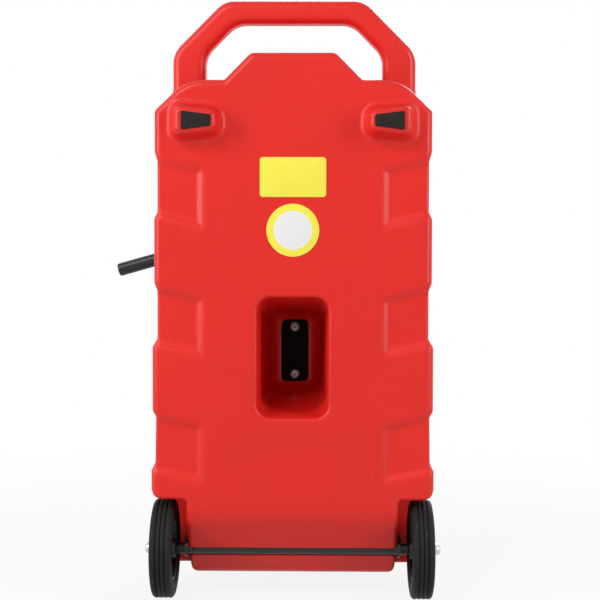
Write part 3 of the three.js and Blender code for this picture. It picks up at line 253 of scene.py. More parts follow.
def soften(corners, steps=6):
    """Rounds each corner (u, v, r) of a closed outline with an arc that touches both edges,
    r / tan(half angle) away."""
    made = []
    for i, (u, v, *given_r) in enumerate(corners):
        at = np.array((u, v), float)
        if not given_r:
            made.append(at[None])
            continue
        before = np.array(corners[i - 1][:2]) - at
        after = np.array(corners[(i + 1) % len(corners)][:2]) - at
        before, after = before / np.linalg.norm(before), after / np.linalg.norm(after)
        half = np.arccos(np.clip(before @ after, -1, 1)) / 2
        middle = (before + after) / np.linalg.norm(before + after) * given_r[0] / np.sin(half)
        start, end = (side * given_r[0] / np.tan(half) - middle for side in (before, after))
        turn, t = pi - 2 * half, np.linspace(0, 1, steps + 1)[:, None]
        arc = (start * np.sin((1 - t) * turn) + end * np.sin(t * turn)) / np.sin(turn)
        made.append(at + middle + arc)
    return np.concatenate(made)


def outline(u, v, ring):
    """Distance to a closed outline, negative inside: the least distance to its edges, signed by
    the edges crossed."""
    near = np.full(np.broadcast(u, v).shape, 1e9, np.float32)
    inside = np.zeros(near.shape, bool)
    for (au, av), (bu, bv) in zip(ring, np.roll(ring, -1, 0)):
        eu, ev = bu - au, bv - av
        t = np.clip(((u - au) * eu + (v - av) * ev) / (eu * eu + ev * ev), 0, 1)
        near = np.minimum(near, (u - au - t * eu) ** 2 + (v - av - t * ev) ** 2)
        if ev:
            inside ^= ((av > v) != (bv > v)) & (u - au < (v - av) * (eu / ev))
    return np.where(inside, -1, 1) * np.sqrt(near)


def both(a, b, r):
    """The space inside both, with its edge rounded by r: past r from each, the distance to a
    circle about the corner."""
    return np.minimum(-r, np.maximum(a, b)) + np.hypot(np.maximum(r + a, 0), np.maximum(r + b, 0))


def weld(a, b, r):
    """The space inside either, with a fillet of radius r where they meet."""
    return -both(-a, -b, r)


def push(flat, along, low, high, edge):
    """A flat distance pushed along an axis from low to high, its end edges rounded."""
    return both(flat, np.abs(along - (low + high) / 2) - (high - low) / 2, edge)


def plane(u, v, at, to):
    """Distance from a straight cut through two points, positive on its left when going from the
    first to the second."""
    du, dv = to[0] - at[0], to[1] - at[1]
    return (du * (v - at[1]) - dv * (u - at[0])) / np.hypot(du, dv)


# Outlines as (x, z, corner radius), from the middle to the right, and (y, z) from the side.
BODY_RING = soften([
    (-400, 885.7), (67.8, 885.7, 14), (110.4, 842.5, 5), (171, 842.5, 70), (222.4, 792.8, 9),
    (222.4, 727, 8), (217.8, 712, 8), (217.8, 631, 6), (223.2, 620.5, 8), (223.2, 517, 8),
    (218, 504.5, 8), (218, 427.5, 6), (226.2, 414, 8), (226.2, 311, 6), (220.5, 301, 6),
    (221.5, 227, 8), (228, 213.5, 8), (228, 33.5, 25), (-400, 33.5),
])
HANDLE_RING = soften([
    (-400, 983), (115.5, 983, 42), (201, 897, 42), (201, 800), (146.5, 800), (146.5, 894, 40),
    (96, 945.5, 40), (-400, 945.5),
], 8)
SIDE_RING = [
    (-275, 1300), (-275, 205.5), (-201, 82.5), (-130, -13.5), (300, -13.5), (300, 1300),
]
BACK, FRONT, HALF_WIDE = -235, 15, 228
HANDLE_BACK, HANDLE_FRONT = -160, -115
AXLE_Y, AXLE_Z, CHANNEL = -190, 80, 10
# The low middle stands between the wheel wells, and its two low corners are cut round.
LOW_HALF, LOW_END, LOW_FRONT, LOW_TOP = 171, 32.5, -106, 54
WELL_TOP, WELL_FRONT, LIP_FROM, LIP_ROUND = 168, -95, 180, 20
# Each pocket is open at the tank's side: where its top and low edges end, outside and inside.
POCKETS = ((716, 621.5, 701, 604), (510.5, 413.5, 494, 399.5), (304, 209, 288, 195))
POCKET_OUT, POCKET_IN, POCKET_DEEP, POCKET_RUN = 212, 144, 7, 10
# A mound leans in by its run over its rise, from two slanted edges, given by their ends.
MOUND_IN, MOUND_OUT, MOUND_FACE, MOUND_DEPTH = 112, 196, -268, -150
MOUND_TOP, MOUND_LOW = ((196, 806.5), (112, 798.5)), ((112, 748.5), (196, 740.5))
MOUND_RUN, MOUND_RISE = 11, 33
NECK_Z, NECK_ROOT, NECK_END, NECK_FLOOR, NECK_OUT, NECK_BORE = 772, -50, 33, 5, 31, 25
# The recess narrows from its rim to its floor: a size at the rim, and what it loses on the way.
RECESS_RIM, RECESS_FLOOR = -227, -20
RECESS_HALF, RECESS_LOW, RECESS_TOP = (57, 12), (301.5, 28.5), (494.2, 32.2)
BAY_HALF, BAY_LOW, BAY_TOP, BAY_FLOOR = 55, 237, 521, -12
STAND_HALF, STAND_DEEP, STAND_TOP = 150, 15, 44


def tank_field(x, y, z):
    """Distance to the tank's outer skin: the block with its slanted low back, less wheel wells,
    pockets, recess, pump bay and axle channel, with the handle, the two pad mounds, the filler
    neck and the front foot welded on. The last number in each call is the radius of that edge."""
    x = np.abs(x)
    d = push(outline(x, z, BODY_RING), y, BACK, FRONT, 12)
    d = both(d, outline(y, z, SIDE_RING), 8)
    corner = both(x - LOW_HALF, LOW_END - z, 20)
    d = np.maximum(d, np.minimum(corner, np.minimum(LOW_FRONT - y, LOW_TOP - z)))
    well = both(both(LOW_HALF - x, y - WELL_FRONT, 9), z - WELL_TOP, 9)
    d = both(d, -well, 7)
    lip = both(x - HALF_WIDE, WELL_TOP - z, LIP_ROUND)
    d = np.maximum(d, np.minimum(lip, np.minimum(WELL_FRONT - y, x - LIP_FROM)))
    d = weld(d, push(outline(x, z, HANDLE_RING), y, HANDLE_BACK, HANDLE_FRONT, 14), 9)
    sides = both(both(MOUND_IN - x, x - MOUND_OUT, 1), -plane(x, z, *MOUND_TOP), 20)
    sides = both(sides, -plane(x, z, *MOUND_LOW), 20)
    lean = sides + (BACK - y) * MOUND_RUN / MOUND_RISE
    lean = lean / np.hypot(1, MOUND_RUN / MOUND_RISE)
    d = weld(d, both(both(lean, MOUND_FACE - y, 6), y - MOUND_DEPTH, 1), 8)
    neck = np.hypot(x, z - NECK_Z)
    d = weld(d, push(neck - NECK_OUT, y, NECK_ROOT, NECK_END, 1.5), 4)
    d = both(d, -both(neck - NECK_BORE, NECK_FLOOR - y, 1), 1)
    for out_top, out_low, in_top, in_low in POCKETS:
        top = plane(x, z, (POCKET_OUT, out_top), (POCKET_IN, in_top))
        low = plane(x, z, (POCKET_IN, in_low), (POCKET_OUT, out_low))
        flat = both(both(POCKET_IN - x, -top, 8), -low, 4)
        for depth in (y - BACK, FRONT - y):
            wall = flat + depth * POCKET_RUN / POCKET_DEEP
            wall = wall / np.hypot(1, POCKET_RUN / POCKET_DEEP)
            d = both(d, -both(wall, depth - POCKET_DEEP, 3), 4)
    t = (y - RECESS_RIM) / (RECESS_FLOOR - RECESS_RIM)
    half = x - RECESS_HALF[0] + RECESS_HALF[1] * t
    low = RECESS_LOW[0] + RECESS_LOW[1] * t - z
    top = z - RECESS_TOP[0] + RECESS_TOP[1] * t
    d = both(d, -both(both(half, both(low, top, 1), 22), y - RECESS_FLOOR, 20), 6)
    bay = both(x - BAY_HALF, both(BAY_LOW - z, z - BAY_TOP, 1), 14)
    d = both(d, -both(bay, BAY_FLOOR - y, 4), 4)
    d = both(d, -(np.hypot(y - AXLE_Y, z - AXLE_Z) - CHANNEL), 1)
    foot = both(x - STAND_HALF, np.abs(y) - STAND_DEEP, 6)
    return weld(d, both(foot, both(-z, z - STAND_TOP, 1), 2), 5)


def steepest(points, reach=0.25):
    """The field's value and gradient at points, from four samples at the corners of a
    tetrahedron: their mean, and their sum with the corners' directions over four reaches."""
    corners = np.array([(1, -1, -1), (-1, -1, 1), (-1, 1, -1), (1, 1, 1)], np.float32)
    values = np.array([tank_field(*(points + reach * c).T) for c in corners])
    return values.mean(0), values.T @ corners / (4 * reach)


def on_field(points, steps, most):
    """Moves points down the gradient onto the surface, by value over gradient squared, a few
    times and no further than most each time."""
    for _ in range(steps):
        value, slope = steepest(points)
        move = np.clip(value, -most, most) / np.maximum((slope**2).sum(1), 0.25)
        points = points - slope * move[:, None]
    return points


def net(low, high, step):
    """Surface net: a point in each grid cell that the surface crosses, at the mean of its edge
    crossings, and a quad round each grid edge that crosses it. The left half is the right one's
    mirror image."""
    x, y, z = (np.arange(a, b + step, step, dtype=np.float32) for a, b in zip(low, high))
    right = tank_field(x[:, None, None], y[None, :, None], z[None, None, :]).astype(np.float32)
    field = np.concatenate([right[:0:-1], right])
    start = np.array([-x[-1], y[0], z[0]])
    inside = field < 0
    corner = np.array([(i, j, k) for i in (0, 1) for j in (0, 1) for k in (0, 1)])
    nx, ny, nz = field.shape
    held = sum(
        inside[i : nx - 1 + i, j : ny - 1 + j, k : nz - 1 + k].astype(np.int8) for i, j, k in corner
    )
    cells = np.argwhere((held > 0) & (held < 8))
    index = np.full(held.shape, -1)
    index[tuple(cells.T)] = np.arange(len(cells))
    value = field[tuple((cells[:, None] + corner).transpose(2, 0, 1))]
    total, count = np.zeros((len(cells), 3)), np.zeros(len(cells))
    for a in range(8):
        for b in range(a + 1, 8):
            if np.abs(corner[a] - corner[b]).sum() == 1:
                cross = (value[:, a] < 0) != (value[:, b] < 0)
                t = np.where(cross, value[:, a] / np.where(cross, value[:, a] - value[:, b], 1), 0)
                total += cross[:, None] * (corner[a] + t[:, None] * (corner[b] - corner[a]))
                count += cross
    points = start + step * (cells + total / count[:, None])
    quads = []
    for axis in range(3):
        u, v = np.eye(3, dtype=int)[(axis + 1) % 3], np.eye(3, dtype=int)[(axis + 2) % 3]
        trim = [slice(1, -1)] * 3
        trim[axis] = slice(None, -1)
        first = inside[tuple(trim)]
        trim[axis] = slice(1, None)
        at = np.argwhere(first != inside[tuple(trim)])
        leaving = first[tuple(at.T)]
        at = at + u + v
        around = np.stack([index[tuple((at - o).T)] for o in (u + v, v, 0 * u, u)], 1)
        around[~leaving] = around[~leaving][:, ::-1]
        quads.append(around)
    return points, np.concatenate(quads)


BODY = {
    part: body
    for body, parts in frame["record"]["behaviour"]["bodies"].items()
    for part in parts
}


def place(name, mesh, material, *nodes):
    """Puts a finished mesh in the scene with the given material. It stands for CAD nodes, hides them
    and rides on their body."""
    mesh.materials.append(material)
    made = bpy.data.objects.new(name, mesh)
    scene.collection.objects.link(made)
    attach(made, BODY[nodes[0]])
    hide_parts(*nodes)
    return made


def evaluated(item):
    """The mesh that an object's modifiers make of its own."""
    return bpy.data.meshes.new_from_object(
        item.evaluated_get(bpy.context.evaluated_depsgraph_get())
    )


GRID_LOW, GRID_HIGH, GRID_STEP, QUICK_STEP = (0, -276, -6), (240, 42, 990), 3.2, 6
points, quads = net(GRID_LOW, GRID_HIGH, GRID_STEP)
points = on_field(points, steps=2, most=2.0)
mesh = bpy.data.meshes.new("tank")
mesh.from_pydata((points / 1000).tolist(), [], quads.tolist())
rough_cut = bpy.data.objects.new("rough_cut", mesh)
scene.collection.objects.link(rough_cut)
rough_cut.modifiers.new("thin", "DECIMATE").ratio = 0.5
mesh = evaluated(rough_cut)
bpy.data.objects.remove(rough_cut)
flat = np.empty(3 * len(mesh.vertices), np.float32)
mesh.vertices.foreach_get("co", flat)
points = on_field(flat.reshape(-1, 3) * 1000, steps=1, most=1.0)
mesh.vertices.foreach_set("co", (points / 1000).ravel())
mesh.shade_smooth()
slope = steepest(points)[1]
normals = slope / np.linalg.norm(slope, axis=1)[:, None]
mesh.normals_split_custom_set_from_vertices(normals.tolist())
place("tank", mesh, red, "tank_shell")


# Filler: a black moulded cap with twelve lobes, fine ribs round its skirt and a grip bar, screwed
# on the tank's neck over a flat rubber gasket.
def solid(name, *grids, sharp=40):
    """A mesh through grids of points (row, column, xyz) in millimetres: a quad between each four
    neighbours, closed round the columns. Doubles are merged, which closes poles and loops, and
    all faces are turned outwards."""
    points, quads, start = [], [], 0
    for grid in grids:
        rows, columns = grid.shape[:2]
        index = start + np.arange(rows * columns).reshape(rows, columns)
        index = np.concatenate([index, index[:, :1]], 1)
        around = [index[:-1, :-1], index[1:, :-1], index[1:, 1:], index[:-1, 1:]]
        quads.append(np.stack(around, -1).reshape(-1, 4))
        points.append(grid.reshape(-1, 3) / 1000)
        start += rows * columns
    mesh = bpy.data.meshes.new(name)
    mesh.from_pydata(np.concatenate(points).tolist(), [], np.concatenate(quads).tolist())
    work = bmesh.new()
    work.from_mesh(mesh)
    bmesh.ops.remove_doubles(work, verts=work.verts, dist=1e-6)
    bmesh.ops.dissolve_degenerate(work, edges=work.edges, dist=1e-7)
    bmesh.ops.recalc_face_normals(work, faces=work.faces)
    work.to_mesh(mesh)
    work.free()
    mesh.shade_smooth()
    mesh.set_sharp_from_angle(angle=radians(sharp))
    return mesh


def turned(profile, axis, centre, steps=96, shape=None, loop=False):
    """A profile (radius, height, corner radius) turned about an axis: centre + height along it +
    radius * (cos, sin) of the turn across it. shape(r, h, turn) may give another radius. A loop's
    last row is its first, and else both ends of the profile lie on the axis."""
    ring = soften(profile, 4)
    if loop:
        ring = np.concatenate([ring, ring[:1]])
    r, h = ring.T[:, :, None]
    turn = np.linspace(0, 2 * pi, steps, endpoint=False)[None]
    r = r + 0 * turn if shape is None else shape(r, h, turn)
    grid = np.stack([h + 0 * turn, r * np.cos(turn), r * np.sin(turn)], -1)
    return np.roll(grid, "xyz".index(axis), -1) + centre


def slab(ring, axis, low, high, edge, rows=4):
    """A closed outline (u, v) pushed along an axis from low to high. Near each end it moves in
    along its normals on a quarter circle of radius edge, and each end face closes on a middle
    point."""
    ring = np.asarray(ring, float)
    along = np.roll(ring, -1, 0) - np.roll(ring, 1, 0)
    normal = np.stack([along[:, 1], -along[:, 0]], 1) / np.linalg.norm(along, axis=1)[:, None]
    area = (ring[:, 0] * np.roll(ring[:, 1], -1) - np.roll(ring[:, 0], -1) * ring[:, 1]).sum()
    bend = np.linspace(0, pi / 2, rows)
    inset, rise = edge * (1 - np.sin(bend)), edge * (1 - np.cos(bend))
    inset = np.concatenate([inset, inset[::-1]])[:, None, None] * np.sign(area)
    depth = np.concatenate([[low], low + rise, high - rise[::-1], [high]])
    rings = ring - inset * normal
    middle = np.broadcast_to(ring.mean(0), ring.shape)[None]
    rings = np.concatenate([middle, rings, middle])
    depth = np.broadcast_to(depth[:, None], rings.shape[:2])
    return np.insert(rings, "xyz".index(axis), depth, axis=-1)


def box_ring(u0, u1, v0, v1, r):
    """A rectangle's outline with rounded corners."""
    return soften([(u0, v0, r), (u1, v0, r), (u1, v1, r), (u0, v1, r)], 8)


def keep(material, *nodes):
    """Gives CAD nodes that stay as they are their finish."""
    for name in nodes:
        for held in frame["nodes"][name].material_slots:
            held.material = material


black_plastic = finish(
    "black_plastic",
    moulded,
    {"Color": (0.016, 0.015, 0.014), "Roughness": 0.44, "Grain Scale": 900.0, "Cloud": 0.1},
    Specular_IOR_Level=0.3,
)
rubber = finish(
    "rubber",
    moulded,
    {
        "Color": (0.015, 0.0135, 0.011),
        "Roughness": 0.75,
        "Grain Scale": 1400.0,
        "Cloud": 0.15,
        "Scuff": 0.1,
    },
    Specular_IOR_Level=0.2,
)
CAP_PROFILE = [
    (0, 35.6), (31.8, 35.6), (31.8, 18, 0.6), (40, 18, 1.0), (40, 41.6, 2.6), (33, 41.9, 1.2),
    (31.5, 40.8, 1.2), (0, 40.8),
]
LOBES, LOBE, RIBS, RIB_HEIGHT = 12, 1.0, 72, 0.25
SKIRT_FROM, RIBS_LOW, RIBS_HIGH = 36, 20, 38
CAP_BAR, BAR_LOW, BAR_HIGH = (-30, 30, NECK_Z - 5, NECK_Z + 5, 4.5), 38, 47.6


def lobes(r, h, turn):
    """The cap's twelve lobes and the 72 fine ribs on its skirt: the radius less 1 - cos 12a, and
    plus 0.25 * cos 72a."""
    ribs = RIB_HEIGHT * np.cos(RIBS * turn) * ((h > RIBS_LOW) & (h < RIBS_HIGH))
    return np.where(r > SKIRT_FROM, r - LOBE * (1 - np.cos(LOBES * turn)) + ribs, r)


cap_top = turned(CAP_PROFILE, "y", (0, 0, NECK_Z), 432, lobes)
cap_bar = slab(box_ring(*CAP_BAR), "y", BAR_LOW, BAR_HIGH, 1.8)
place("cap", solid("cap", cap_top, cap_bar), black_plastic, "filler_cap")
keep(rubber, "filler_gasket")

# Pads: two wedges of moulded black rubber, pressed into seats on the mounds. The caddy rests on
# them when it lies on its back.
HANDS = ((-1, "left"), (1, "right"))
PAD_CORNERS = ((129, 764.5), (175.5, 758.5), (175.5, 788.5), (129, 782.5))
PAD_OUT, PAD_IN = -270, -264
for side, word in HANDS:
    ring = soften([(x * side, z, 2.5) for x, z in PAD_CORNERS], 5)
    pad = solid("pad_" + word, slab(ring, "y", PAD_OUT, PAD_IN, 1.4))
    place("pad_" + word, pad, rubber, "foot_pad_" + word)

# Labels: a yellow panel and a yellow disc with a white middle, both blank, of printed vinyl stuck
# on the back.
yellow = finish(
    "label_yellow",
    moulded,
    {
        "Color": (0.92, 0.83, 0.075),
        "Roughness": 0.36,
        "Grain Scale": 500.0,
        "Cloud": 0.02,
        "Scuff": 0.03,
    },
    strength=0.05,
)
DISC_Z, DISC_RADIUS = 602, 42.25
DISC_WHITE, WHITE_FROM, WHITE_TO = (0.84, 0.84, 0.83, 1), 0.0308, 0.0312
LABEL_OUT, LABEL_IN = -236.1, -235.3
PANEL = (-53, 53, 654.85, 718.35, 5)
panel = slab(box_ring(*PANEL), "y", LABEL_OUT, LABEL_IN, 0.3)
place("panel", solid("panel", panel), yellow, "label_panel")
ringed = yellow.copy()
ringed.name = "label_ring"
tree = ringed.node_tree
where = node(tree, "ShaderNodeTexCoord").outputs["Object"]
inputs = {"Vector": where, "Location": (0, 0, -DISC_Z / 1000), "Scale": (1, 0, 1)}
centred = node(tree, "ShaderNodeMapping", inputs).outputs[0]
out = node(tree, "ShaderNodeVectorMath", {0: centred}, operation="LENGTH").outputs["Value"]
middle = remap(tree, out, WHITE_FROM, WHITE_TO, 1.0, 0.0)
shader = next(n for n in tree.nodes if n.type == "BSDF_PRINCIPLED")
inputs = {0: middle, 6: shader.inputs["Base Color"].links[0].from_socket, 7: DISC_WHITE}
print_layer = node(tree, "ShaderNodeMix", inputs, data_type="RGBA")
tree.links.new(print_layer.outputs[2], shader.inputs["Base Color"])
DISC = [
    (0, LABEL_IN), (DISC_RADIUS, LABEL_IN, 0.2), (DISC_RADIUS, LABEL_OUT, 0.3), (0, LABEL_OUT),
]
place("disc", solid("disc", turned(DISC, "y", (0, 0, DISC_Z), 120)), ringed, "label_disc")

# Axle: a steel rod through both wheels, inside a drawn and painted steel tube that lies in the
# channel across the slanted low back.
worn, given, result = effect(
    "worn_metal", {"Color": GREY, "Roughness": 0.35, "Scratch": 0.3, "Cloud": 0.1}
)
where = node(worn, "ShaderNodeTexCoord").outputs["Object"]
cloud = noise(worn, where, 30.0, 4.0, 0.6)
lines = node(worn, "ShaderNodeMapping", {"Vector": where, "Scale": (40, 900, 900)}).outputs[0]
cuts = remap(worn, noise(worn, lines, 1.0, 3.0), 0.35, 0.65, -1.0, 1.0)
swing = swinging(worn, cloud)
scored = maths(worn, "MULTIPLY", cuts, given["Scratch"])
shade = maths(worn, "MULTIPLY_ADD", swing, given["Cloud"], 1.0)
shade = maths(worn, "MULTIPLY_ADD", scored, 0.12, shade)
rough = maths(worn, "MULTIPLY_ADD", scored, 0.1, given["Roughness"])
rough = maths(worn, "MULTIPLY_ADD", swing, 0.06, rough)
height = maths(worn, "MULTIPLY_ADD", cloud, 0.5, scored)
put_out(worn, result, Color=tint(worn, given["Color"], shade), Roughness=rough, Height=height)

black_steel = finish(
    "black_steel",
    worn,
    {"Color": (0.014, 0.013, 0.013), "Roughness": 0.36, "Scratch": 0.15, "Cloud": 0.15},
    bump=0.00005,
    Specular_IOR_Level=0.4,
)
AXLE = np.array((0, AXLE_Y, AXLE_Z))
ROD_END, TUBE_END = 235, 163.2
rod = turned([(0, -ROD_END), (5, -ROD_END, 1), (5, ROD_END, 1), (0, ROD_END)], "x", AXLE)
TUBE = [(5.3, -TUBE_END), (9, -TUBE_END, 0.8), (9, TUBE_END, 0.8), (5.3, TUBE_END)]
place("axle", solid("axle", rod), black_steel, "axle_rod")
place("tube", solid("tube", turned(TUBE, "x", AXLE, loop=True)), black_steel, "axle_tube")

# Axle brackets: plates of pressed steel, each with a welded sleeve for the axle, painted black.
# Two hexagon bolts hold each to the side of the low middle.
FOLD = radians(35)


def softened(name, material, width):
    """A CAD node's own shape with its loose triangles merged, its flat faces joined and its edges
    rounded by a width in millimetres."""
    shape = bpy.data.meshes.new(name + "_soft")
    work = bmesh.new()
    work.from_mesh(frame["nodes"][name].data)
    bmesh.ops.remove_doubles(work, verts=work.verts, dist=1e-5)
    bmesh.ops.dissolve_limit(work, angle_limit=radians(1), verts=work.verts, edges=work.edges)
    bmesh.ops.recalc_face_normals(work, faces=work.faces)
    work.to_mesh(shape)
    work.free()
    for label in ("custom_normal", "UVMap"):
        if label in shape.attributes:
            shape.attributes.remove(shape.attributes[label])
    shape.shade_smooth()
    shape.set_sharp_from_angle(angle=FOLD)
    made = place(name + "_soft", shape, material, name)
    rounded(made, width, FOLD)
    made.modifiers.new("even", "WEIGHTED_NORMAL").keep_sharp = True


def rounded(item, width, fold):
    """Rounds an object's edges by a width in millimetres where they bend by more than fold."""
    edge = item.modifiers.new("edge", "BEVEL")
    edge.width, edge.segments = width / 1000, 2
    edge.limit_method, edge.angle_limit = "ANGLE", fold


def hexagon(flats):
    """Cuts a turned shape to a hexagon: its radius is at most half the flats over the cosine of
    the angle to a flat."""
    return lambda r, h, turn: np.minimum(r, flats / 2 / np.cos(turn % (pi / 3) - pi / 6))


def to_side(profile, side, start=0):
    """A profile whose heights count outwards from start, put on the left (-1) or right (1)."""
    return [(r, side * (start + h), *c) for r, h, *c in profile]


HEX_HEAD = [(0, -24.4), (4, -24.4, 0.6), (4, 0), (7.6, 0), (7.6, 4.5), (6.1, 5.3), (0, 5.3)]
HEAD_SEAT, HEAD_FLATS, BRACKET_BOLTS = 176.6, 13, (-150, -121)
for side, word in HANDS:
    softened("axle_bracket_" + word, black_steel, 0.8)
    for i, y in enumerate(BRACKET_BOLTS, 1):
        name = f"bracket_bolt_{word}_{i}"
        at = (HEAD_SEAT * side, y, AXLE_Z)
        head = turned(to_side(HEX_HEAD, side), "x", at, 72, hexagon(HEAD_FLATS))
        place("head_" + name, solid(name, head, sharp=25), black_steel, name)

# Spacers: short tubes of black plastic, cut to length and slipped on the rod, which keep each
# wheel off its bracket.
SPACER = [(5.3, 179.8), (9, 179.8, 0.9), (9, 191.7, 0.9), (5.3, 191.7)]
for side, word in HANDS:
    spacer = turned(to_side(SPACER, side), "x", AXLE, loop=True)
    place("spacer_" + word, solid("spacer_" + word, spacer), black_plastic, "axle_spacer_" + word)

# Wheels: solid rubber tyres with four ribs, moulded on black plastic hubs with five windows. Each
# hub turns on a bush of white plastic.
tyre_rubber = finish(
    "tyre",
    moulded,
    {
        "Color": (0.010, 0.010, 0.0095),
        "Roughness": 0.66,
        "Grain Scale": 1100.0,
        "Cloud": 0.2,
        "Scuff": 0.25,
    },
    Specular_IOR_Level=0.22,
)
acetal = finish(
    "white_plastic",
    moulded,
    {"Color": (0.74, 0.71, 0.63), "Roughness": 0.45, "Grain Scale": 800.0},
    Specular_IOR_Level=0.4,
)
SIDEWALL = [
    (52.3, 3.5, 0.8), (58.5, 0.7, 4), (64.5, 0.0, 2), (66, 0.7, 0.6), (67.6, 0.7, 0.6),
    (69, 0.0, 1.5), (77.0, 1.5, 5), (80, 5, 1.2),
]
RIB_COUNT, RIB, GROOVE, GROOVE_FLOOR, GROOVE_LEAN = 4, 4.675, 2.6, 77.6, 0.7
WHEEL_FACE, WHEEL_WIDE, WHEEL_RADIUS, SHOULDER = 192, 36.5, 80, 5
ribs = []
for i in range(RIB_COUNT):
    start = SHOULDER + i * (RIB + GROOVE)
    if i:
        ribs += [(GROOVE_FLOOR, start - GROOVE_LEAN, 0.4), (WHEEL_RADIUS, start, 0.6)]
    if i < RIB_COUNT - 1:
        end = start + RIB
        ribs += [(WHEEL_RADIUS, end, 0.6), (GROOVE_FLOOR, end + GROOVE_LEAN, 0.4)]
TYRE = SIDEWALL + ribs + [(r, WHEEL_WIDE - h, c) for r, h, c in SIDEWALL[::-1]]
HUB = [
    (8.3, 0.3), (15, 0.3, 1), (16.5, 14.75, 3), (46, 16.75, 3), (47.5, 3.5, 1), (52, 3.5, 0.6),
    (52, 33, 0.6), (47.5, 33, 1), (46, 22.75, 3), (38.8, 22.3, 0.8), (38.2, 21.6, 0.8),
    (23.8, 21.2, 0.8), (23.2, 21.4, 0.8), (16.5, 20.75, 3), (15, 35.5, 1.2), (8.3, 35.5),
]
WINDOWS, WINDOW_RING = 5, 31
WINDOW = [(0, 8), (8.5, 8), (8.5, 32), (0, 32)]


def cut_away(mesh, tool, sharp=40):
    """The first mesh less the space inside the second."""
    body, cutter = (bpy.data.objects.new(m.name, m) for m in (mesh, tool))
    for item in (body, cutter):
        scene.collection.objects.link(item)
    step = body.modifiers.new("cut", "BOOLEAN")
    step.operation, step.solver, step.object = "DIFFERENCE", "EXACT", cutter
    made = evaluated(body)
    for item in (body, cutter):
        bpy.data.objects.remove(item)
    made.shade_smooth()
    made.set_sharp_from_angle(angle=radians(sharp))
    return made


angles = 2 * pi * np.arange(WINDOWS) / WINDOWS
spots = AXLE + WINDOW_RING * np.stack([0 * angles, np.cos(angles), np.sin(angles)], 1)
for side, word in HANDS:
    tyre = turned(to_side(TYRE, side, WHEEL_FACE), "x", AXLE, 128, loop=True)
    name = "rubber_tyre_" + word
    place(name, solid(name, tyre), tyre_rubber, "tyre_" + word)
    hub = turned(to_side(HUB, side, WHEEL_FACE), "x", AXLE, 96, loop=True)
    windows = [turned(to_side(WINDOW, side, WHEEL_FACE), "x", spot, 40) for spot in spots]
    rim = cut_away(solid("hub_" + word, hub), solid("windows", *windows))
    rounded(place("hub_" + word, rim, black_plastic, "wheel_hub_" + word), 0.6, radians(50))
keep(acetal, "hub_bush_left", "hub_bush_right")

# Wheel ends: a stamped washer and a domed cap nut, both zinc-plated steel, on each end of the
# rod. The nut is pushed on and holds the wheel.
zinc = finish(
    "zinc",
    worn,
    {"Color": (0.58, 0.59, 0.60), "Roughness": 0.28, "Scratch": 0.25, "Cloud": 0.08},
    bump=0.00003,
    Metallic=1.0,
)
WASHER = [(5.3, 227.8), (12, 227.8, 0.3), (12, 229.4, 0.5), (5.3, 229.4)]
DOME = [
    (5.3, 229.7), (10.5, 229.7, 0.3), (10.5, 231.2, 0.4), (9.4, 232.0, 0.4), (9.3, 237.5, 2.5),
    (7.9, 240.6, 3), (4.5, 242.5, 3), (0, 242.7), (0, 236.1), (5.3, 236.1),
]
for side, word in HANDS:
    washer = turned(to_side(WASHER, side), "x", AXLE, loop=True)
    dome = turned(to_side(DOME, side), "x", AXLE, loop=True)
    place("washer_" + word, solid("washer_" + word, washer), zinc, "wheel_washer_" + word)
    place("dome_" + word, solid("dome_" + word, dome), zinc, "cap_nut_" + word)

# Backing plate: a flat black steel plate on the recess floor, with a punch mark in its middle.
# Two button-head bolts with washers pass through it and the web, and nuts on the pump side clamp
# the pump's bracket.
# The plate's colour is black paint with painted shade: much darker than the black steel elsewhere, as
# dark as the shade deep in the recess.
black_plate_painted_shade = finish(
    "black_plate_painted_shade",
    worn,
    {"Color": (0.004, 0.0035, 0.0035), "Roughness": 0.6, "Scratch": 0.1, "Cloud": 0.2},
    bump=0.00005,
    Specular_IOR_Level=0.08,
)
PLATE, PLATE_BACK, PLATE_FRONT = (-23.75, 23.75, 340.1, 449.1, 9), -24.3, -20.3
PUNCH_Z, PUNCH = 394.6, [(0, -23.4), (1.6, -24.0), (1.6, -26), (0, -26)]
plate = solid("plate", slab(box_ring(*PLATE), "y", PLATE_BACK, PLATE_FRONT, 0.8))
punch = solid("punch", turned(PUNCH, "y", (0, 0, PUNCH_Z), 24))
place("plate", cut_away(plate, punch), black_plate_painted_shade, "backing_plate")
SOCKET = 2.5
BUTTON = [
    (0, 3), (4, 3, 0.8), (4, -26.3), (7.2, -26.3, 0.3), (7.2, -29.2, 1.2), (6.2, -30.4, 1.2),
    (3.0, -30.9, 0.2), (SOCKET, -30.5), (SOCKET, -28.3), (0, -26.8),
]
dull_steel = finish(
    "dull_steel",
    worn,
    {"Color": (0.26, 0.25, 0.245), "Roughness": 0.42, "Scratch": 0.3, "Cloud": 0.15},
    bump=0.00004,
    Metallic=1.0,
)
RING = [(4.3, -26.0), (8, -26.0, 0.4), (8, -24.6, 0.4), (4.3, -24.6)]
NUT = [(4.3, -5.4), (6.3, -5.4), (7.6, -4.7), (7.6, 0.4), (6.3, 1.1), (4.3, 1.1)]
NUT_FLATS = 13
LEVELS = (("upper", 436.7), ("lower", 352.5))


def socket(radius):
    """Makes the rows of a turned shape that have just this radius a hexagon of that inner
    radius: the radius over the cosine of the angle to a flat."""

    def widened(r, h, turn):
        """The hexagon in rows of this radius, and elsewhere the radius as it is."""
        return np.where(np.abs(r - radius) < 0.01, radius / np.cos(turn % (pi / 3) - pi / 6), r)

    return widened


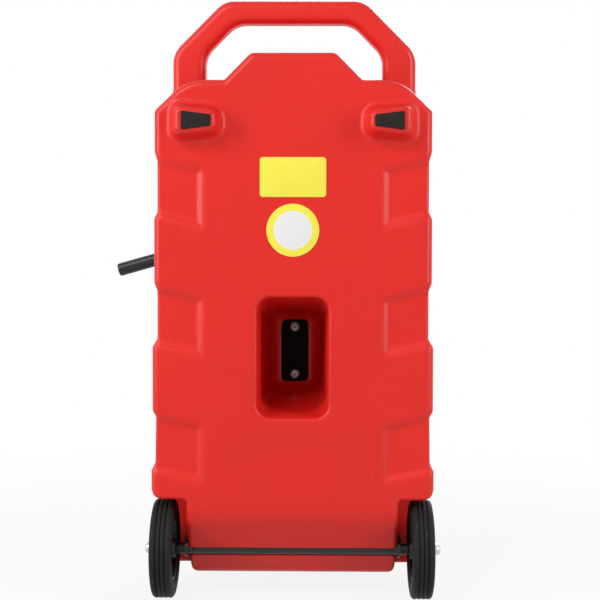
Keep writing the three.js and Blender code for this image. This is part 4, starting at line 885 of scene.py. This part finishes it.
for word, z in LEVELS:
    at = (0, 0, z)
    ring = turned(RING, "y", at, loop=True)
    place("ring_" + word, solid("ring_" + word, ring), dull_steel, "mount_washer_" + word)
    bolt = turned(BUTTON, "y", at, 72, socket(SOCKET))
    place("button_" + word, solid("button_" + word, bolt), dull_steel, "mount_bolt_" + word)
    nut = turned(NUT, "y", at, 72, hexagon(NUT_FLATS), loop=True)
    place("nut_" + word, solid("nut_" + word, nut, sharp=25), zinc, "mount_nut_" + word)

# Pump bracket: an iron casting, painted grey, with two saddles for the barrel. Over each saddle
# goes a bent steel band with two cap screws.
cast_skin, given, result = effect(
    "cast_skin", {"Color": GREY, "Roughness": 0.55, "Grain Scale": 420.0, "Pits": 0.4}
)
where = node(cast_skin, "ShaderNodeTexCoord").outputs["Object"]
sand = noise(cast_skin, where, given["Grain Scale"], 3.0, 0.65)
swing = swinging(cast_skin, noise(cast_skin, where, 22.0, 4.0))
pit = node(cast_skin, "ShaderNodeTexVoronoi", {"Vector": where, "Scale": 260.0}).outputs[0]
deep = remap(cast_skin, pit, 0.0, 0.3, -1.0, 0.0)
pitted = maths(cast_skin, "MULTIPLY", deep, given["Pits"])
shade = maths(cast_skin, "MULTIPLY_ADD", swing, 0.16, 1.0)
shade = maths(cast_skin, "MULTIPLY_ADD", pitted, 0.3, shade)
rough = maths(cast_skin, "MULTIPLY_ADD", swing, 0.07, given["Roughness"])
height = maths(cast_skin, "ADD", sand, pitted)
tinted = tint(cast_skin, given["Color"], shade)
put_out(cast_skin, result, Color=tinted, Roughness=rough, Height=height)
cast = finish(
    "pump_cast",
    cast_skin,
    {"Color": (0.05, 0.052, 0.056), "Roughness": 0.48},
    bump=0.0004,
    strength=0.5,
    Metallic=0.35,
    Specular_IOR_Level=0.4,
)
softened("pump_bracket", cast, 1.0)
SCREW_SIDE, SCREW_SOCKET = 42, 2.0
SCREW = [
    (0, -2.5), (2.5, -2.5, 0.4), (2.5, 15.6), (4.3, 15.6, 0.3), (4.3, 19.2, 0.6),
    (2.6, 19.2, 0.15), (SCREW_SOCKET, 18.9), (SCREW_SOCKET, 17.0), (0, 17.0),
]
for word, z in LEVELS:
    softened("clamp_band_" + word, black_steel, 0.7)
    for side, hand in HANDS:
        name = f"clamp_screw_{word}_{hand}"
        screw = turned(SCREW, "y", (SCREW_SIDE * side, 0, z), 72, socket(SCREW_SOCKET))
        place("cap_" + name, solid(name, screw), zinc, name)

# Barrel and foot: a drawn steel tube, painted grey, screwed into a cast foot that holds the
# suction valve.
PUMP_Y = 35
PUMP = (0, PUMP_Y, 0)
BARREL = [(28, 322.3), (32, 322.3, 0.6), (32, 480, 0.6), (28, 480)]
FOOT = [
    (10.3, 284), (30, 284, 2), (38, 292, 4), (38, 338, 2.5), (32.3, 338, 0.6), (32.3, 322),
    (27.5, 322), (27.5, 318), (12, 318), (12, 302), (10.3, 302),
]
place("barrel", solid("barrel", turned(BARREL, "z", PUMP, loop=True)), cast, "pump_barrel")
place("foot", solid("foot", turned(FOOT, "z", PUMP, loop=True)), cast, "pump_foot")

# Suction line: a moulded black elbow from the foot, pushed through a rubber grommet in the web,
# and the dip tube with its strainer, which reaches down inside the tank.
ELBOW_BEND, ELBOW_RADIUS = (14, 283), 21
ELBOW_OUT, ELBOW_BORE, ELBOW_Z = 10, 7, 262


def sweep(path, radius, steps=48):
    """A round bar along points (y, z) in the plane X = 0: each ring lies across the path's
    direction there."""
    path = np.asarray(path, float)
    along = np.gradient(path, axis=0)
    along /= np.linalg.norm(along, axis=1)[:, None]
    turn = np.linspace(0, 2 * pi, steps, endpoint=False)
    y = path[:, :1] - along[:, 1:] * radius * np.sin(turn)
    z = path[:, 1:] + along[:, :1] * radius * np.sin(turn)
    return np.stack([np.broadcast_to(radius * np.cos(turn), y.shape), y, z], -1)


def pipe(path, outer, inner):
    """A hollow bar: its outer skin along the path, its bore back again, and the two ends between
    them."""
    skin, bore = sweep(path, outer), sweep(path, inner)[::-1]
    return np.concatenate([skin, bore, skin[:1]])


def quarter(centre, radius, start, end, steps=16):
    """Points on a quarter circle (y, z) from one angle to another, in degrees."""
    turn = np.radians(np.linspace(start, end, steps + 1))
    return np.stack([centre[0] + radius * np.cos(turn), centre[1] + radius * np.sin(turn)], 1)


bend = quarter(ELBOW_BEND, ELBOW_RADIUS, 0, -90)
elbow = np.concatenate(
    [[(PUMP_Y, 301.7), (PUMP_Y, 292)], bend, [(0, ELBOW_Z), (-32, ELBOW_Z)]]
)
elbow = solid("elbow", pipe(elbow, ELBOW_OUT, ELBOW_BORE))
place("elbow", elbow, black_plastic, "suction_elbow")
GROMMET = [
    (10.3, -18), (13.7, -18, 0.4), (13.7, -11.7), (19, -11.7, 0.8), (18.2, -9, 1.2),
    (10.3, -9, 0.8),
]
grommet = solid("grommet", turned(GROMMET, "y", (0, 0, ELBOW_Z), loop=True))
place("grommet", grommet, rubber, "inlet_grommet")
keep(black_plastic, "dip_tube")
keep(acetal, "strainer")

# Head: a grey iron casting that closes the barrel, guides the rod, leads fuel out to the left and
# carries the lever's fork. A brass gland nut seals the rod, and the outlet ends in a brass barb.
brass = finish(
    "brass",
    worn,
    {"Color": (0.62, 0.41, 0.14), "Roughness": 0.27, "Scratch": 0.25, "Cloud": 0.08},
    bump=0.00003,
    Metallic=1.0,
)
softened("pump_head", cast, 1.2)
GLAND_FLATS = 27
GLAND = [
    (6.6, 515.3), (13.3, 515.3), (15.7, 516.6), (15.7, 525.5), (13.3, 527), (8.4, 527, 0.4),
    (6.6, 525.8),
]
gland = turned(GLAND, "z", PUMP, 72, hexagon(GLAND_FLATS), loop=True)
place("gland", solid("gland", gland, sharp=25), brass, "gland_nut")
BARB_Z = 487
TEETH = [point for peak in (-78, -70, -62) for point in ((8.6, peak, 0.3), (7, peak + 0.5))]
BARB = [
    (5, -33), (5, -84, 0.3), (6.4, -84, 0.5), *TEETH, (7, -54), (11, -54, 0.8), (11, -46.3, 0.8),
    (7, -46.3), (7, -33),
]
barb = solid("barb", turned(BARB, "x", (0, PUMP_Y, BARB_Z), loop=True))
place("barb", barb, brass, "outlet_barb")

# Piston, valves and rod: a plated steel rod whose fork straddles the lever, with a plastic piston
# on its end and two valve discs in the barrel. Riveted pins hold fork and lever.
softened("piston_rod", zinc, 0.7)
keep(acetal, "piston")
keep(rubber, "piston_seal", "piston_valve_disc")
keep(zinc, "piston_nut")
keep(brass, "foot_valve_disc")
FULCRUM_X, FULCRUM_Z = 75, 647.8
PIN_RADIUS, PIN_HEAD = 4, 3
PINS = (("fulcrum", FULCRUM_X, FULCRUM_Z, 13.3, 7), ("rod", 0, 626.5, 10.3, 6.5))
for name, x, z, half, r in PINS:
    end = half + PIN_HEAD
    ring = [
        (0, -end), (r, -end, 1.2), (r, -half, 0.3), (PIN_RADIUS, -half), (PIN_RADIUS, half),
        (r, half, 0.3), (r, end, 1.2), (0, end),
    ]
    pin = solid(name + "_rivet", turned(ring, "y", (x, PUMP_Y, z), 64))
    place(name + "_rivet", pin, zinc, name + "_pin")

# Lever: a black steel blade on the fork's pin, with a glossy black plastic grip pushed on its
# round end. It slopes down past the left side of the tank.
softened("lever_arm", black_steel, 0.8)
gloss_grip = finish(
    "grip_black",
    moulded,
    {
        "Color": (0.006, 0.006, 0.006),
        "Roughness": 0.31,
        "Grain Scale": 500.0,
        "Cloud": 0.05,
        "Scuff": 0.1,
    },
    strength=0.12,
    Specular_IOR_Level=0.4,
)
GRIP_RADIUS, GRIP_END = 11.7, 411.96
GRIP = [
    (6.3, 262.3), (10.4, 262.3, 0.5), (GRIP_RADIUS, 264, 0.8), (GRIP_RADIUS, 270, 0.5),
    (11.2, 270.6, 0.3), (11.2, 271.6, 0.3), (GRIP_RADIUS, 272.2, 0.5), (GRIP_RADIUS, GRIP_END, 3),
    (0, GRIP_END), (0, 385.3), (6.3, 385.3),
]
tilt = radians(15.85)
flat_grip = turned(to_side(GRIP, -1), "x", (0, 0, 0), loop=True)
along, across, up = flat_grip.transpose(2, 0, 1)
grip = np.stack([
    FULCRUM_X + along * cos(tilt) - up * sin(tilt),
    PUMP_Y + across,
    FULCRUM_Z + along * sin(tilt) + up * cos(tilt),
], -1)
place("grip", solid("grip", grip), gloss_grip, "lever_grip")
